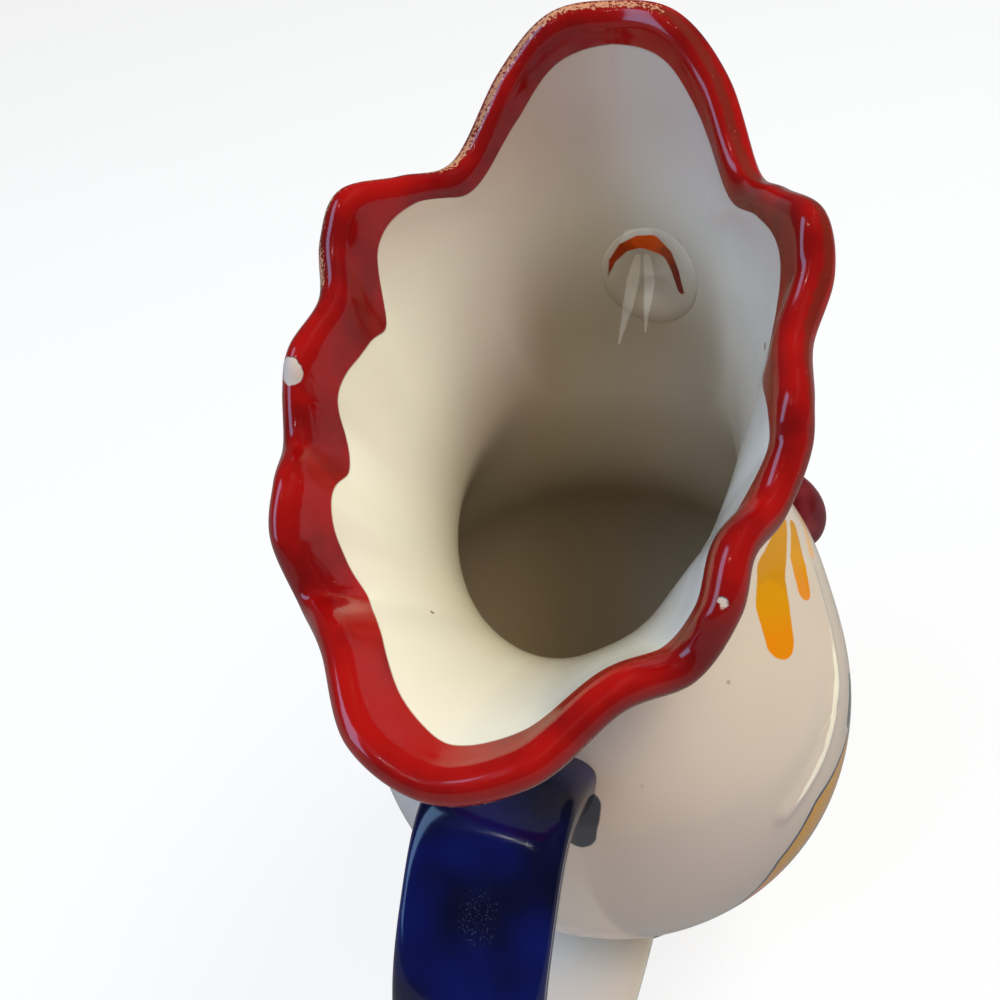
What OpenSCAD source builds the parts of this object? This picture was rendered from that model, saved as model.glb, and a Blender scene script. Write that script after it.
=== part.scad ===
// Chicken pitcher in glazed earthenware: a round hen's body on a hollow foot, with a
// ruffled comb as its pouring mouth and a strap handle as its tail.
// +Z is up, the beak points to -Y, and the foot rests on Z = 0.

/* [Foot] */
// Diameter of the foot where it stands
foot_d = 64; // [60:1:70]
// Diameter of the waist, where the foot meets the belly
waist_d = 60; // [56:1:64]
// Height of the waist above the table
waist_h = 22; // [18:1:24]
// Thickness of the pitcher's floor
floor_t = 7; // [5:0.5:9]
// Radius of the rounded edge at the table
foot_edge_r = 1.5; // [1:0.25:2.5]
// How deep the foot's side is hollowed
foot_hollow_depth = 2; // [1:0.5:3]

/* [Belly] */
// Diameter of the round belly
belly_d = 118; // [112:1:124]
// How far the belly is drawn down to the waist, past a plain ball
belly_draw = 1.7; // [1:0.1:4]
// Height of the seam between belly and shoulder
seam_h = 96; // [90:1:100]
// Thickness of the cast wall
wall = 5; // [3.5:0.5:6]

/* [Throat] */
// Width of the throat's outside, side to side
throat_w = 70; // [64:1:78]
// Length of the throat's outside, front to back
throat_l = 94; // [88:1:100]
// How far the throat's middle lies in front of the belly's axis
throat_forward = 9; // [6:1:12]
// Height of the throat at its back
throat_h = 122; // [118:1:128]
// How much higher the throat is at its front
throat_rise = 24; // [16:1:32]

/* [Comb] */
// Width of the mouth across its widest lobes
mouth_w = 93; // [86:1:100]
// Length of the mouth, front lip to back lip
mouth_l = 130; // [122:1:138]
// How far the front lip lies in front of the belly's axis
mouth_forward = 47; // [42:1:52]
// How far the mouth sagged to the hen's left in the kiln
mouth_side = 3; // [0:1:5]
// Height of the front lip
front_lip_h = 222; // [214:1:230]
// Height of the back lip
back_lip_h = 146; // [141:1:151]
// Thickness of the rolled lip
lip_d = 7.5; // [7:0.5:10]
// Depth of the comb's red band, from its edge to the lip
comb_h = 10; // [8:1:13]

/* [Beak] */
// Diameter of the beak at its root
beak_d = 29; // [26:1:33]
// How far the beak stands out of its root plane
beak_l = 27; // [22:1:32]
// Height of the beak's root
beak_h = 163; // [158:1:168]
// How far the beak was set to the hen's right of the middle
beak_side = 3; // [0:1:4]
// How much the beak points down, in degrees
beak_droop = 20; // [10:1:28]
// Thickness of the beak's wall
beak_wall = 4.5; // [3.5:0.5:6]
// Thickness of clay left solid at the beak's tip
beak_tip_t = 14; // [10:1:16]

/* [Wattles] */
// Length of each wattle
wattle_l = 24; // [20:1:28]
// Width of each wattle
wattle_w = 15; // [12:1:18]
// Thickness of each wattle
wattle_t = 9; // [8:0.5:11]
// How far up the shoulder the wattles' middle lies, as a share of the way to the throat
wattle_share = 0.4; // [0.3:0.05:0.5]

/* [Handle] */
// Width of the strap
strap_w = 29; // [26:1:34]
// Thickness of the strap
strap_t = 10; // [8:0.5:12]
// Depth of the thumb dent in the strap
dent_depth = 2.5; // [1:0.25:3]
// Width of the strap where it grows out of the neck
top_root_w = 28; // [26:1:38]
// Thickness of the strap where it grows out of the neck
top_root_t = 20; // [14:1:24]
// Width of the strap where it fans out on the foot
root_w = 42; // [34:1:46]
// How far the handle reaches behind the belly's axis
handle_reach = 100; // [94:1:106]
// Height of the handle's upper root
handle_top_h = 122; // [117:1:126]
// Height of the handle's lower root
handle_low_h = 9; // [9:1:14]

/* [Hidden] */
$fn = 96;

// How far a cutting shape runs past what it cuts
overrun = 1;
// Glaze colours
cream = [0.90, 0.88, 0.84];
comb_red = [0.66, 0.07, 0.05];
wattle_red = [0.45, 0.08, 0.09];
beak_yellow = [0.93, 0.62, 0.08];
cobalt = [0.02, 0.08, 0.42];

belly_r = belly_d / 2;
waist_r = waist_d / 2;
foot_r = foot_d / 2;
// Height of the belly's centre
belly_h = waist_h + sqrt(belly_r * belly_r - waist_r * waist_r) + belly_draw;

// Points along an arc of a circle about c, from angle a to angle b in n steps
function arc(c, r, a, b, n) =
  [for (i = [0:n]) let (t = a + (b - a) * i / n) [c[0] + r * cos(t), c[1] + r * sin(t)]];

// Angle at which a straight line from point p touches the circle of radius r on the
// axis at height h, seen from the circle's centre. A point inside has the angle it lies at.
function touch_angle(p, r, h) =
  let (x = p[0], y = p[1] - h) atan2(y, x) + acos(min(1, r / norm([x, y])));

// Angle of the seam on the circle of radius r
function seam_angle(r) = asin((seam_h - belly_h) / r);

// A spline through the points of a list, at place s counted in points
function spline_clip(p, i) = p[max(0, min(len(p) - 1, i))];
function spline(p, s) =
  let (i = min(floor(s), len(p) - 2), t = s - i,
       a = spline_clip(p, i - 1), b = p[i], c = p[i + 1], d = spline_clip(p, i + 2))
  (2 * b + (c - a) * t + (2 * a - 5 * b + 4 * c - d) * t * t
    + (3 * b - a - 3 * c + d) * t * t * t) / 2;

// The same with both ends mirrored in the plane X = 0, so that a half outline closes smoothly
function mirrored(p) = [-p[0], p[1], p[2], p[3]];
function half_spline(p, s) =
  let (n = len(p), i = min(floor(s), n - 2), t = s - i,
       a = i == 0 ? mirrored(p[1]) : p[i - 1], b = p[i], c = p[i + 1],
       d = i == n - 2 ? mirrored(p[n - 2]) : p[i + 2])
  (2 * b + (c - a) * t + (2 * a - 5 * b + 4 * c - d) * t * t
    + (3 * b - a - 3 * c + d) * t * t * t) / 2;

// A smooth curve from a to b that leaves along u and arrives along v
function blend(a, u, b, v, t) =
  (2 * t * t * t - 3 * t * t + 1) * a + (t * t * t - 2 * t * t + t) * u
    + (3 * t * t - 2 * t * t * t) * b + (t * t * t - t * t) * v;

function unit(v) = v / norm(v);

// A solid from a closed loop of closed sections, all with the same number of points
module loop_of_sections(sections) {
  n = len(sections);
  m = len(sections[0]);
  points = [for (s = sections) each s];
  faces = [for (i = [0:n - 1]) for (j = [0:m - 1])
    let (a = i * m + j, b = i * m + (j + 1) % m,
         c = ((i + 1) % n) * m + (j + 1) % m, d = ((i + 1) % n) * m + j)
    each [[a, b, c], [a, c, d]]];
  polyhedron(points, faces, convexity = 8);
}

// A solid from a row of closed sections with a flat cap at each end
module row_of_sections(sections) {
  n = len(sections);
  m = len(sections[0]);
  points = [for (s = sections) each s];
  sides = [for (i = [0:n - 2]) for (j = [0:m - 1])
    let (a = i * m + j, b = i * m + (j + 1) % m,
         c = (i + 1) * m + (j + 1) % m, d = (i + 1) * m + j)
    each [[a, c, b], [a, d, c]]];
  first_cap = [[for (j = [0:m - 1]) j]];
  last_cap = [[for (j = [m - 1:-1:0]) (n - 1) * m + j]];
  polyhedron(points, concat(sides, first_cap, last_cap), convexity = 8);
}

// The ruffled rim, from the middle of the front lobe round to the middle of the back lobe.
// Each row gives shares: across the half width, back along the length, up from the back
// lip to the front lip, and the direction round the throat that the fold comes from.
rim_shares = [
  [0, 0, 1, 0],
  [0.27, 0.025, 0.985, 0.10],
  [0.48, 0.065, 0.865, 0.21],
  [0.65, 0.145, 0.685, 0.32],
  [0.80, 0.235, 0.705, 0.41],
  [0.94, 0.325, 0.735, 0.49],
  [0.99, 0.375, 0.650, 0.55],
  [0.95, 0.440, 0.550, 0.60],
  [0.985, 0.525, 0.500, 0.66],
  [1, 0.560, 0.415, 0.70],
  [0.95, 0.620, 0.325, 0.74],
  [0.88, 0.695, 0.325, 0.785],
  [0.86, 0.745, 0.230, 0.82],
  [0.74, 0.785, 0.095, 0.86],
  [0.54, 0.860, 0.120, 0.91],
  [0.32, 0.965, 0.075, 0.95],
  [0, 1, 0.030, 1]
];
// Columns of facets between one row and the next, and rings up each part of the wall
column_steps = 3;
shoulder_rings = 6;
funnel_rings = 8;
bulb_steps = 8;
// How stiffly the wall leaves the seam, the throat and the lip
seam_pull_share = 1.1;
throat_pull_share = 0.9;
lip_pull_share = 0.75;
// How much the lip turns outwards rather than up
lip_turn_share = 0.8;
// Half the angle of the bulb that the rolled lip shows
bulb_angle = 105;

half_columns = (len(rim_shares) - 1) * column_steps;

function rim_row(i) = half_spline(rim_shares, i / column_steps);
function rim_place(row) = [
  row[0] * mouth_w / 2 + mouth_side,
  row[1] * mouth_l - mouth_forward,
  back_lip_h + row[2] * (front_lip_h - back_lip_h)
];
// Every column once round: the right half, then its mirror image
function full_row(i) =
  i <= half_columns ? rim_row(i) : mirrored(rim_row(2 * half_columns - i));
columns = [for (i = [0:2 * half_columns - 1]) full_row(i)];

// Point on the throat or seam oval in the direction of a column's fold
function fold_angle(i) = 180 * (i <= half_columns ? columns[i][3] : 2 - columns[i][3]);
function oval(a, half_w, half_l, y, z) = [half_w * sin(a), y - half_l * cos(a), z];
function column(i) = columns[(i + len(columns)) % len(columns)];

function seam_point(i, inset) =
  let (r = sqrt(pow(belly_r - inset, 2) - pow(seam_h - belly_h, 2)))
  oval(fold_angle(i), r, r, 0, seam_h);
function throat_point(i, inset) =
  let (a = fold_angle(i), z = throat_h + throat_rise * (1 + cos(a)) / 2)
  oval(a, throat_w / 2 - inset, throat_l / 2 - inset, -throat_forward, z)
    + [mouth_side / 2, 0, 0];

// Frame of the lip at a column: the way the wall runs, and the way out of its outer face
function lip_run(i) =
  let (d = rim_place(columns[i]) - throat_point(i, wall / 2))
  unit([d[0], d[1], d[2] * lip_turn_share]);
function lip_out(i) =
  let (along = rim_place(column(i + 1)) - rim_place(column(i - 1)))
  unit(cross(along, lip_run(i)));

// Middle of the rolled lip, whose outer edge follows the rim
function lip_middle(i) =
  rim_place(columns[i]) - unit(lip_run(i) + lip_out(i)) * lip_d / 2;

// A point of the wall: side is 1 on its outer face and -1 on its inner face
function inset_of(side) = wall * (1 - side) / 2;
function lip_base(i, side) =
  lip_middle(i) + lip_out(i) * side * wall / 2;
function shoulder_point(i, side, t) =
  let (s = seam_point(i, inset_of(side)), q = throat_point(i, inset_of(side)),
       rise = q[2] - seam_h, slope = (seam_h - belly_h) / (s[0] * s[0] + s[1] * s[1]),
       run = [-s[0] * slope, -s[1] * slope, 1])
  blend(s, run * rise * seam_pull_share, q, [0, 0, rise * throat_pull_share], t);
function funnel_point(i, side, t) =
  let (q = throat_point(i, inset_of(side)), e = lip_base(i, side), d = norm(e - q),
       rise = q[2] - seam_h)
  blend(q, [0, 0, rise * throat_pull_share], e, lip_run(i) * d * lip_pull_share, t);

// Where the comb's lower edge lies, as a share of the way from throat to lip
function comb_edge_share(i) =
  1 - comb_h / norm(lip_middle(i) - throat_point(i, wall / 2));

function wall_points(i, side) = concat(
  [for (k = [0:shoulder_rings - 1]) shoulder_point(i, side, k / shoulder_rings)],
  [for (k = [0:funnel_rings]) funnel_point(i, side, comb_edge_share(i) * k / funnel_rings)]
);
function reversed(p) = [for (k = [len(p) - 1:-1:0]) p[k]];

// Closed section of the neck's wall and of the comb at a column
function neck_section(i) = concat(wall_points(i, 1), reversed(wall_points(i, -1)));
function comb_section(i) =
  let (q = lip_middle(i), f = lip_run(i), n = lip_out(i),
       edge_share = comb_edge_share(i), half_share = (1 + edge_share) / 2)
  concat(
    [funnel_point(i, 1, edge_share), funnel_point(i, 1, half_share)],
    [for (k = [0:bulb_steps]) let (a = bulb_angle * (1 - 2 * k / bulb_steps))
      q + (f * cos(a) + n * sin(a)) * lip_d / 2],
    [funnel_point(i, -1, half_share), funnel_point(i, -1, edge_share)]
  );

// Everything inside the neck's outer face, as one solid
module neck_body() {
  n = len(columns);
  m = shoulder_rings + funnel_rings + 1;
  walls = [for (i = [0:n - 1]) wall_points(i, 1)];
  low = [0, 0, seam_h];
  high = [0, (mouth_l / 2 - mouth_forward), (front_lip_h + back_lip_h) / 2];
  points = concat([for (w = walls) each w], [low, high]);
  faces = [for (i = [0:n - 1]) let (k = (i + 1) % n) each concat(
    [for (j = [0:m - 2]) each [[i * m + j, i * m + j + 1, k * m + j + 1],
                               [i * m + j, k * m + j + 1, k * m + j]]],
    [[k * m, n * m, i * m], [i * m + m - 1, n * m + 1, k * m + m - 1]])];
  polyhedron(points, faces, convexity = 8);
}

// Outer side of the foot, from its rounded edge at the table up to the waist
foot_edge_steps = 4;
foot_edge_angle = 350;
foot_side_steps = 10;
foot_corner = wall;
foot_side = [for (k = [0:foot_side_steps]) let (s = k / foot_side_steps)
  [foot_r + (waist_r - foot_r) * s - foot_hollow_depth * sin(180 * s),
   foot_edge_r + (waist_h - foot_edge_r) * s]];

module foot_body() {
  rotate_extrude()
    polygon(concat([[0, 0], [foot_r - foot_edge_r, 0]], foot_side, [[0, waist_h]]));
}

module foot() {
  inner_r = waist_r - foot_hollow_depth - wall;
  color(cream)
    rotate_extrude()
      polygon(concat(
        [[0, 0]],
        arc([foot_r - foot_edge_r, foot_edge_r], foot_edge_r, 270, foot_edge_angle,
          foot_edge_steps),
        foot_side,
        [[waist_r - wall, waist_h], [inner_r, floor_t + foot_corner],
         [inner_r - foot_corner, floor_t], [0, floor_t]]
      ));
}

// Steps of the belly's outline
belly_steps = 20;

module belly_body() {
  low = touch_angle([waist_r, waist_h], belly_r, belly_h);
  rotate_extrude()
    polygon(concat([[0, waist_h], [waist_r, waist_h]],
      arc([0, belly_h], belly_r, low, seam_angle(belly_r), belly_steps), [[0, seam_h]]));
}

module belly() {
  inner_r = belly_r - wall;
  low = touch_angle([waist_r, waist_h], belly_r, belly_h);
  inner_low = touch_angle([waist_r - wall, waist_h], inner_r, belly_h);
  color(cream)
    rotate_extrude()
      polygon(concat(
        [[waist_r, waist_h]],
        arc([0, belly_h], belly_r, low, seam_angle(belly_r), belly_steps),
        reversed(arc([0, belly_h], inner_r, inner_low, seam_angle(inner_r), belly_steps)),
        [[waist_r - wall, waist_h]]
      ));
}

// How far the beak's root plane lies behind the throat's front, how far a bore runs back
// through the neck, and how blunt the tip is
beak_sunk_depth = 7;
beak_bore_back = 2 * wall;
beak_steps = 12;
beak_blunt_share = 0.35;

// Half outline of the beak: how far out of the root, and the radius there
function beak_outline(r, l) =
  [for (k = [0:beak_steps]) let (a = 90 * k / beak_steps)
    [r * cos(a), l * (beak_blunt_share * sin(a) + (1 - beak_blunt_share) * pow(sin(a), 2))]];

module beak_form(inset, tip, back) {
  translate([-beak_side, beak_sunk_depth - throat_forward - throat_l / 2, beak_h])
    rotate([90 + beak_droop, 0, 0])
      rotate_extrude()
        polygon(concat([[0, -back], [beak_d / 2 - inset, -back]],
          beak_outline(beak_d / 2 - inset, beak_l + beak_sunk_depth - tip)));
}

module beak() {
  color(beak_yellow)
    difference() {
      beak_form(0, 0, wall);
      beak_form(beak_wall, beak_tip_t, wall + overrun);
      neck_body();
    }
}

module neck() {
  color(cream)
    difference() {
      loop_of_sections([for (i = [0:len(columns) - 1]) neck_section(i)]);
      beak_form(beak_wall, beak_tip_t, beak_bore_back);
    }
}

module comb() {
  color(comb_red)
    loop_of_sections([for (i = [0:len(columns) - 1]) comb_section(i)]);
}

// Rim row whose column each wattle lies on, how far its middle stands proud of the shoulder,
// and how it leans and turns with it
wattle_rim_index = 3;
wattle_proud = wattle_t / 6;
wattle_lean_angle = 35;
wattle_turn_angle = 32;
wattle_facets = 24;

// The left wattle follows its column, the right wattle the same column's mirror image
module wattle(side) {
  i = wattle_rim_index * column_steps;
  place = shoulder_point(side > 0 ? i : len(columns) - i, 1, wattle_share);
  color(wattle_red)
    difference() {
      translate(place + [side * wattle_proud, -wattle_proud, 0])
        rotate([0, side * -wattle_lean_angle, 0]) rotate([0, 0, side * wattle_turn_angle])
          resize([wattle_t, wattle_w, wattle_l])
            sphere(d = wattle_l, $fn = wattle_facets);
      neck_body();
      belly_body();
    }
}

module wattle_left() wattle(1);
module wattle_right() wattle(-1);

// The strap's middle line, as shares of its reach behind the belly's axis and of its height
strap_shares = [
  [0.32, 0.72],
  [0.48, 0.86],
  [0.65, 0.935],
  [0.80, 0.84],
  [0.90, 0.71],
  [0.95, 0.53],
  [0.94, 0.37],
  [0.84, 0.22],
  [0.69, 0.13],
  [0.50, 0.05],
  [0.30, 0]
];
strap_steps = 4;
strap_sides = 20;
// Where the thumb dent lies along the strap, and how far it spreads
dent_place_share = 0.36;
dent_spread_share = 0.06;
// How far along the strap the stouter root at the neck reaches
top_fan_share = 0.15;
// Where along the strap it starts to fan out towards the foot
fan_start_share = 0.45;
// How square the strap's section is at its sides, and how flat on its faces
strap_square_share = 0.6;
strap_flat_share = 0.75;

function strap_place(s) =
  let (p = spline(strap_shares, s * (len(strap_shares) - 1)))
  [mouth_side, p[0] * handle_reach,
   handle_low_h + p[1] * (handle_top_h - handle_low_h)];
function strap_section(s) =
  let (e = 1 / (strap_steps * len(strap_shares)),
       run = unit(strap_place(min(1, s + e)) - strap_place(max(0, s - e))),
       out = unit(cross([1, 0, 0], run)),
       fan = s < fan_start_share ? 0 : (s - fan_start_share) / (1 - fan_start_share),
       top_fan = exp(-pow(s / top_fan_share, 2)),
       half_w = (strap_w + (root_w - strap_w) * sin(90 * fan)
         + (top_root_w - strap_w) * top_fan) / 2,
       inner_t = strap_t / 2 + (top_root_t - strap_t) * top_fan,
       dent = dent_depth * exp(-pow((s - dent_place_share) / dent_spread_share, 2)))
  [for (k = [0:strap_sides - 1])
    let (a = -360 * k / strap_sides, c = cos(a), d = sin(a),
         x = sign(c) * pow(abs(c), strap_square_share) * half_w,
         y = sign(d) * pow(abs(d), strap_flat_share) * (d < 0 ? inner_t : strap_t / 2))
    strap_place(s) + [x, 0, 0] + out * (y - (y > 0 ? dent * pow(abs(d), 2) : 0))];

module handle() {
  n = strap_steps * (len(strap_shares) - 1);
  color(cobalt)
    difference() {
      row_of_sections([for (i = [0:n]) strap_section(i / n)]);
      neck_body();
      belly_body();
      foot_body();
    }
}

foot();
belly();
neck();
comb();
beak();
wattle_left();
wattle_right();
handle();
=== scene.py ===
"""A chicken pitcher in glazed earthenware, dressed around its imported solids."""

import logging
import math
from collections.abc import Mapping, Sequence
from dataclasses import dataclass, field
from enum import Enum
from typing import Any

import bmesh
import bpy
import numpy as np
from mathutils import Matrix, Vector


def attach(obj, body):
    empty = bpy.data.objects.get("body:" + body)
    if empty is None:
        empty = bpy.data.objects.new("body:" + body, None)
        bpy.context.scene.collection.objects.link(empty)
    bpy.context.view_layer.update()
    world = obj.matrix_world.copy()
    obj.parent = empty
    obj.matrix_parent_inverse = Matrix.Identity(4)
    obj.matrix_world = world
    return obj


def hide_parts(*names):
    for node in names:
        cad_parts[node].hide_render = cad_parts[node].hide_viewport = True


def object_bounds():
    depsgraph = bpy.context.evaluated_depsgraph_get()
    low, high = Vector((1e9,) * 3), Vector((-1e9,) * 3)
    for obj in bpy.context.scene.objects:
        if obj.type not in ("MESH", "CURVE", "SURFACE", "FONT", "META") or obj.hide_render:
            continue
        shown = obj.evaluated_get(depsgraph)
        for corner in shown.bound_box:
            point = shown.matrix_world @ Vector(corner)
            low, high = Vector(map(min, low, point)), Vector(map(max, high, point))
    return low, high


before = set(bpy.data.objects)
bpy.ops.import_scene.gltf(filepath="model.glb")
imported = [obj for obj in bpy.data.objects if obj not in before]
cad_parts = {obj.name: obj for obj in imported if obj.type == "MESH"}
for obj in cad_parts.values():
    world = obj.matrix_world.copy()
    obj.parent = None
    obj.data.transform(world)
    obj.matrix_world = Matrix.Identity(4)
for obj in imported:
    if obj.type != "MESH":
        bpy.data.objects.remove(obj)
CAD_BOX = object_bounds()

Colour = tuple[float, float, float, float]
Point = tuple[float, float, float]

LOG = logging.getLogger("chicken_pitcher")
MM = 0.001
BODY = "root"
FAR_FROM_BAND = -50.0


class Slot(Enum):
    """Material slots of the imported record."""

    CREAM = "cream_glaze"
    RED = "red_glaze"
    MAROON = "maroon_glaze"
    YELLOW = "yellow_glaze"
    COBALT = "cobalt_glaze"


class Mark(Enum):
    """Point attributes that the finishes read from a piece's own mesh."""

    RED_EDGE = "red_edge"
    OUTSIDE = "outside"
    CREST = "crest"
    ALONG = "strap_along"
    FACE = "strap_face"
    ACROSS = "strap_across"


# Curves and meshes


def unit(v: np.ndarray) -> np.ndarray:
    """Scale each vector of an array to a length of one."""
    return v / np.linalg.norm(v, axis=-1, keepdims=True)


def spline_piece(
    a: np.ndarray, b: np.ndarray, c: np.ndarray, d: np.ndarray, t: np.ndarray
) -> np.ndarray:
    """Run a smooth curve from b to c, with a and d as the points before and after."""
    bend, twist = 2 * a - 5 * b + 4 * c - d, 3 * b - a - 3 * c + d
    return (2 * b + (c - a) * t + bend * t**2 + twist * t**3) / 2


def spline(points: Sequence[Sequence[float]], places: np.ndarray) -> np.ndarray:
    """Run a smooth curve through a row of points.

    Args:
        points: The points that the curve passes.
        places: Where to read it, from 0 at the first point to 1 at the last.

    Returns:
        One point of the curve for each place.
    """
    p = np.asarray(points, float)
    s = np.clip(np.asarray(places, float), 0, 1) * (len(p) - 1)
    i = np.minimum(s.astype(int), len(p) - 2)
    t = (s - i)[:, None]
    last = len(p) - 1
    return spline_piece(p[np.maximum(i - 1, 0)], p[i], p[i + 1], p[np.minimum(i + 2, last)], t)


def mirror_spline(points: Sequence[Sequence[float]], places: np.ndarray) -> np.ndarray:
    """Run a curve through half an outline that closes smoothly on its mirror image.

    Args:
        points: Rows whose first number is the distance from the mirror plane.
        places: Where to read it, counted in rows.

    Returns:
        One row for each place.
    """
    p = np.asarray(points, float)
    flip = np.ones(p.shape[1])
    flip[0] = -1
    ends = np.vstack([p[1] * flip, p, p[-2] * flip])
    s = np.asarray(places, float)
    i = np.minimum(s.astype(int), len(p) - 2)
    return spline_piece(ends[i], ends[i + 1], ends[i + 2], ends[i + 3], (s - i)[:, None])


def hermite(
    a: np.ndarray, u: np.ndarray, b: np.ndarray, v: np.ndarray, t: float | np.ndarray
) -> np.ndarray:
    """Run a curve from a to b that leaves along u and arrives along v."""
    leaving = (2 * t**3 - 3 * t**2 + 1) * a + (t**3 - 2 * t**2 + t) * u
    return leaving + (3 * t**2 - 2 * t**3) * b + (t**3 - t**2) * v


def arc(
    centre: tuple[float, float], radius: float, start: float, end: float, steps: int
) -> np.ndarray:
    """List points of a circle's arc, with angles in degrees."""
    a = np.radians(np.linspace(start, end, steps + 1))
    return np.stack([centre[0] + radius * np.cos(a), centre[1] + radius * np.sin(a)], axis=1)


def near_path(points: np.ndarray, path: Sequence[Sequence[float]]) -> np.ndarray:
    """Measure how far each point lies from a line of straight stretches."""
    best = np.full(len(points), np.inf)
    for a, b in zip(np.asarray(path[:-1], float), np.asarray(path[1:], float)):
        share = np.clip((points - a) @ (b - a) / ((b - a) @ (b - a)), 0, 1)
        best = np.minimum(best, np.linalg.norm(points - a - share[:, None] * (b - a), axis=1))
    return best


def kept_inside(points: np.ndarray, margin: float = 0.0) -> np.ndarray:
    """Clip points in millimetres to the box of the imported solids, less a margin."""
    low, high = (np.array(corner) / MM for corner in CAD_BOX)
    return np.clip(points, low + margin, high - margin)


def by_hand(points: np.ndarray, sway_mm: float = 0.14, wave_mm: float = 24.0) -> np.ndarray:
    """Move points by the slow unevenness of a cast and sponged clay wall, in millimetres."""
    x, y, z = (points / wave_mm).T
    sway = np.stack(
        [
            np.sin(1.1 * y + 0.7 * z) + 0.6 * np.sin(2.3 * z - 1.7 * y + 1),
            np.sin(0.9 * x - 1.2 * z + 2) + 0.6 * np.sin(2.1 * x + 1.9 * z),
            0.5 * np.sin(1.3 * x + 1.1 * y + 4),
        ],
        axis=1,
    )
    rise = np.clip(points[:, 2:] / 30, 0, 1)
    return kept_inside(points + sway_mm * sway * rise)


def linked(name: str, data: Any) -> bpy.types.Object:
    """Make an object and put it into the scene."""
    made = bpy.data.objects.new(name, data)
    bpy.context.scene.collection.objects.link(made)
    return made


def mesh_object(
    name: str, points: np.ndarray, faces: Sequence[Sequence[int]]
) -> bpy.types.Object:
    """Make an object from points in millimetres.

    Args:
        name: Name of the piece.
        points: Its points, as rows.
        faces: Its faces, as rows of point numbers that turn outwards.

    Returns:
        The object, at the origin, in metres.
    """
    mesh = bpy.data.meshes.new(name)
    mesh.from_pydata((points * MM).tolist(), [], [list(map(int, f)) for f in faces])
    mesh.validate()
    mesh.shade_smooth()
    return linked(name, mesh)


def add_mark(piece: bpy.types.Object, mark: Mark, values: np.ndarray) -> None:
    """Store one number for each point of a piece."""
    held = piece.data.attributes.new(mark.value, "FLOAT", "POINT")
    held.data.foreach_set("value", np.asarray(values, np.float32))


def mark_pot(
    piece: bpy.types.Object,
    outside: np.ndarray,
    red: np.ndarray | float = FAR_FROM_BAND,
    crest: np.ndarray | float = 0.0,
) -> None:
    """Store what the pot's glaze reads from a piece of the pot.

    Args:
        piece: The piece.
        outside: 1 at points of its outer face.
        red: How deep each point lies inside the red band, in millimetres.
        crest: 1 where the lip wears most.
    """
    marks = ((Mark.RED_EDGE, red), (Mark.OUTSIDE, outside), (Mark.CREST, crest))
    for mark, values in marks:
        add_mark(piece, mark, np.broadcast_to(values, len(outside)))


def grid_faces(columns: int, rings: int, closed: bool) -> list[tuple[int, int, int, int]]:
    """List the faces of a grid whose columns run round the piece.

    Args:
        columns: How many columns there are; the last joins the first.
        rings: How many points a column has.
        closed: Whether a column's last point joins its first.

    Returns:
        Faces that turn outwards where a column climbs the outside and the columns go round
        anticlockwise, seen from above.
    """
    faces = []
    for i in range(columns):
        here, there = i * rings, (i + 1) % columns * rings
        for j in range(rings if closed else rings - 1):
            k = (j + 1) % rings
            faces.append((here + j, there + j, there + k, here + k))
    return faces


def crease(piece: bpy.types.Object, degrees: float = 50.0) -> None:
    """Shade a piece smoothly but for its sharp edges, such as those where pieces meet."""
    piece.data.shade_smooth()
    piece.data.set_sharp_from_angle(angle=math.radians(degrees))


def turned(name: str, outline: np.ndarray, columns: int) -> bpy.types.Object:
    """Turn an outline round the upright axis.

    Args:
        name: Name of the piece.
        outline: Radius and height of each point, up the outside and down the inside, in
            millimetres. Points on the axis become one point.
        columns: How many columns of faces go round.

    Returns:
        The closed piece.
    """
    points: list[np.ndarray] = []
    rows: list[np.ndarray] = []
    angles = np.linspace(0, 2 * math.pi, columns, endpoint=False)
    for radius, height in outline:
        start = len(points)
        if radius < 1e-6:
            points.append(np.array([0, 0, height]))
            rows.append(np.full(columns, start))
        else:
            for a in angles:
                points.append(np.array([radius * math.cos(a), radius * math.sin(a), height]))
            rows.append(np.arange(start, start + columns))
    faces = []
    for low, high in zip(rows, rows[1:] + rows[:1]):
        if low[0] == low[1] and high[0] == high[1]:
            continue
        for i in range(columns):
            k = (i + 1) % columns
            corner = [low[i], low[k], high[k], high[i]]
            faces.append(list(dict.fromkeys(int(c) for c in corner)))
    return mesh_object(name, by_hand(np.array(points)), faces)


def cut_away(piece: bpy.types.Object, tool: bpy.types.Object) -> None:
    """Cut one closed piece away from another and remove the tool."""
    cut = piece.modifiers.new("cut", "BOOLEAN")
    cut.operation = "DIFFERENCE"
    cut.solver = "EXACT"
    cut.object = tool
    bake(piece)
    bpy.data.objects.remove(tool)


def bake(piece: bpy.types.Object) -> None:
    """Turn what a piece's modifiers make into its plain mesh and drop them."""
    graph = bpy.context.evaluated_depsgraph_get()
    mesh = bpy.data.meshes.new_from_object(piece.evaluated_get(graph), depsgraph=graph)
    piece.modifiers.clear()
    piece.data = mesh


# Finishes


def srgb(red: float, green: float, blue: float) -> Colour:
    """Turn a colour as seen on a screen, 0 to 255, into the shader's own values."""

    def straight(level: float) -> float:
        """Undo the screen's curve for one channel."""
        share = level / 255
        return share / 12.92 if share <= 0.04045 else ((share + 0.055) / 1.055) ** 2.4

    return (straight(red), straight(green), straight(blue), 1.0)


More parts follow.
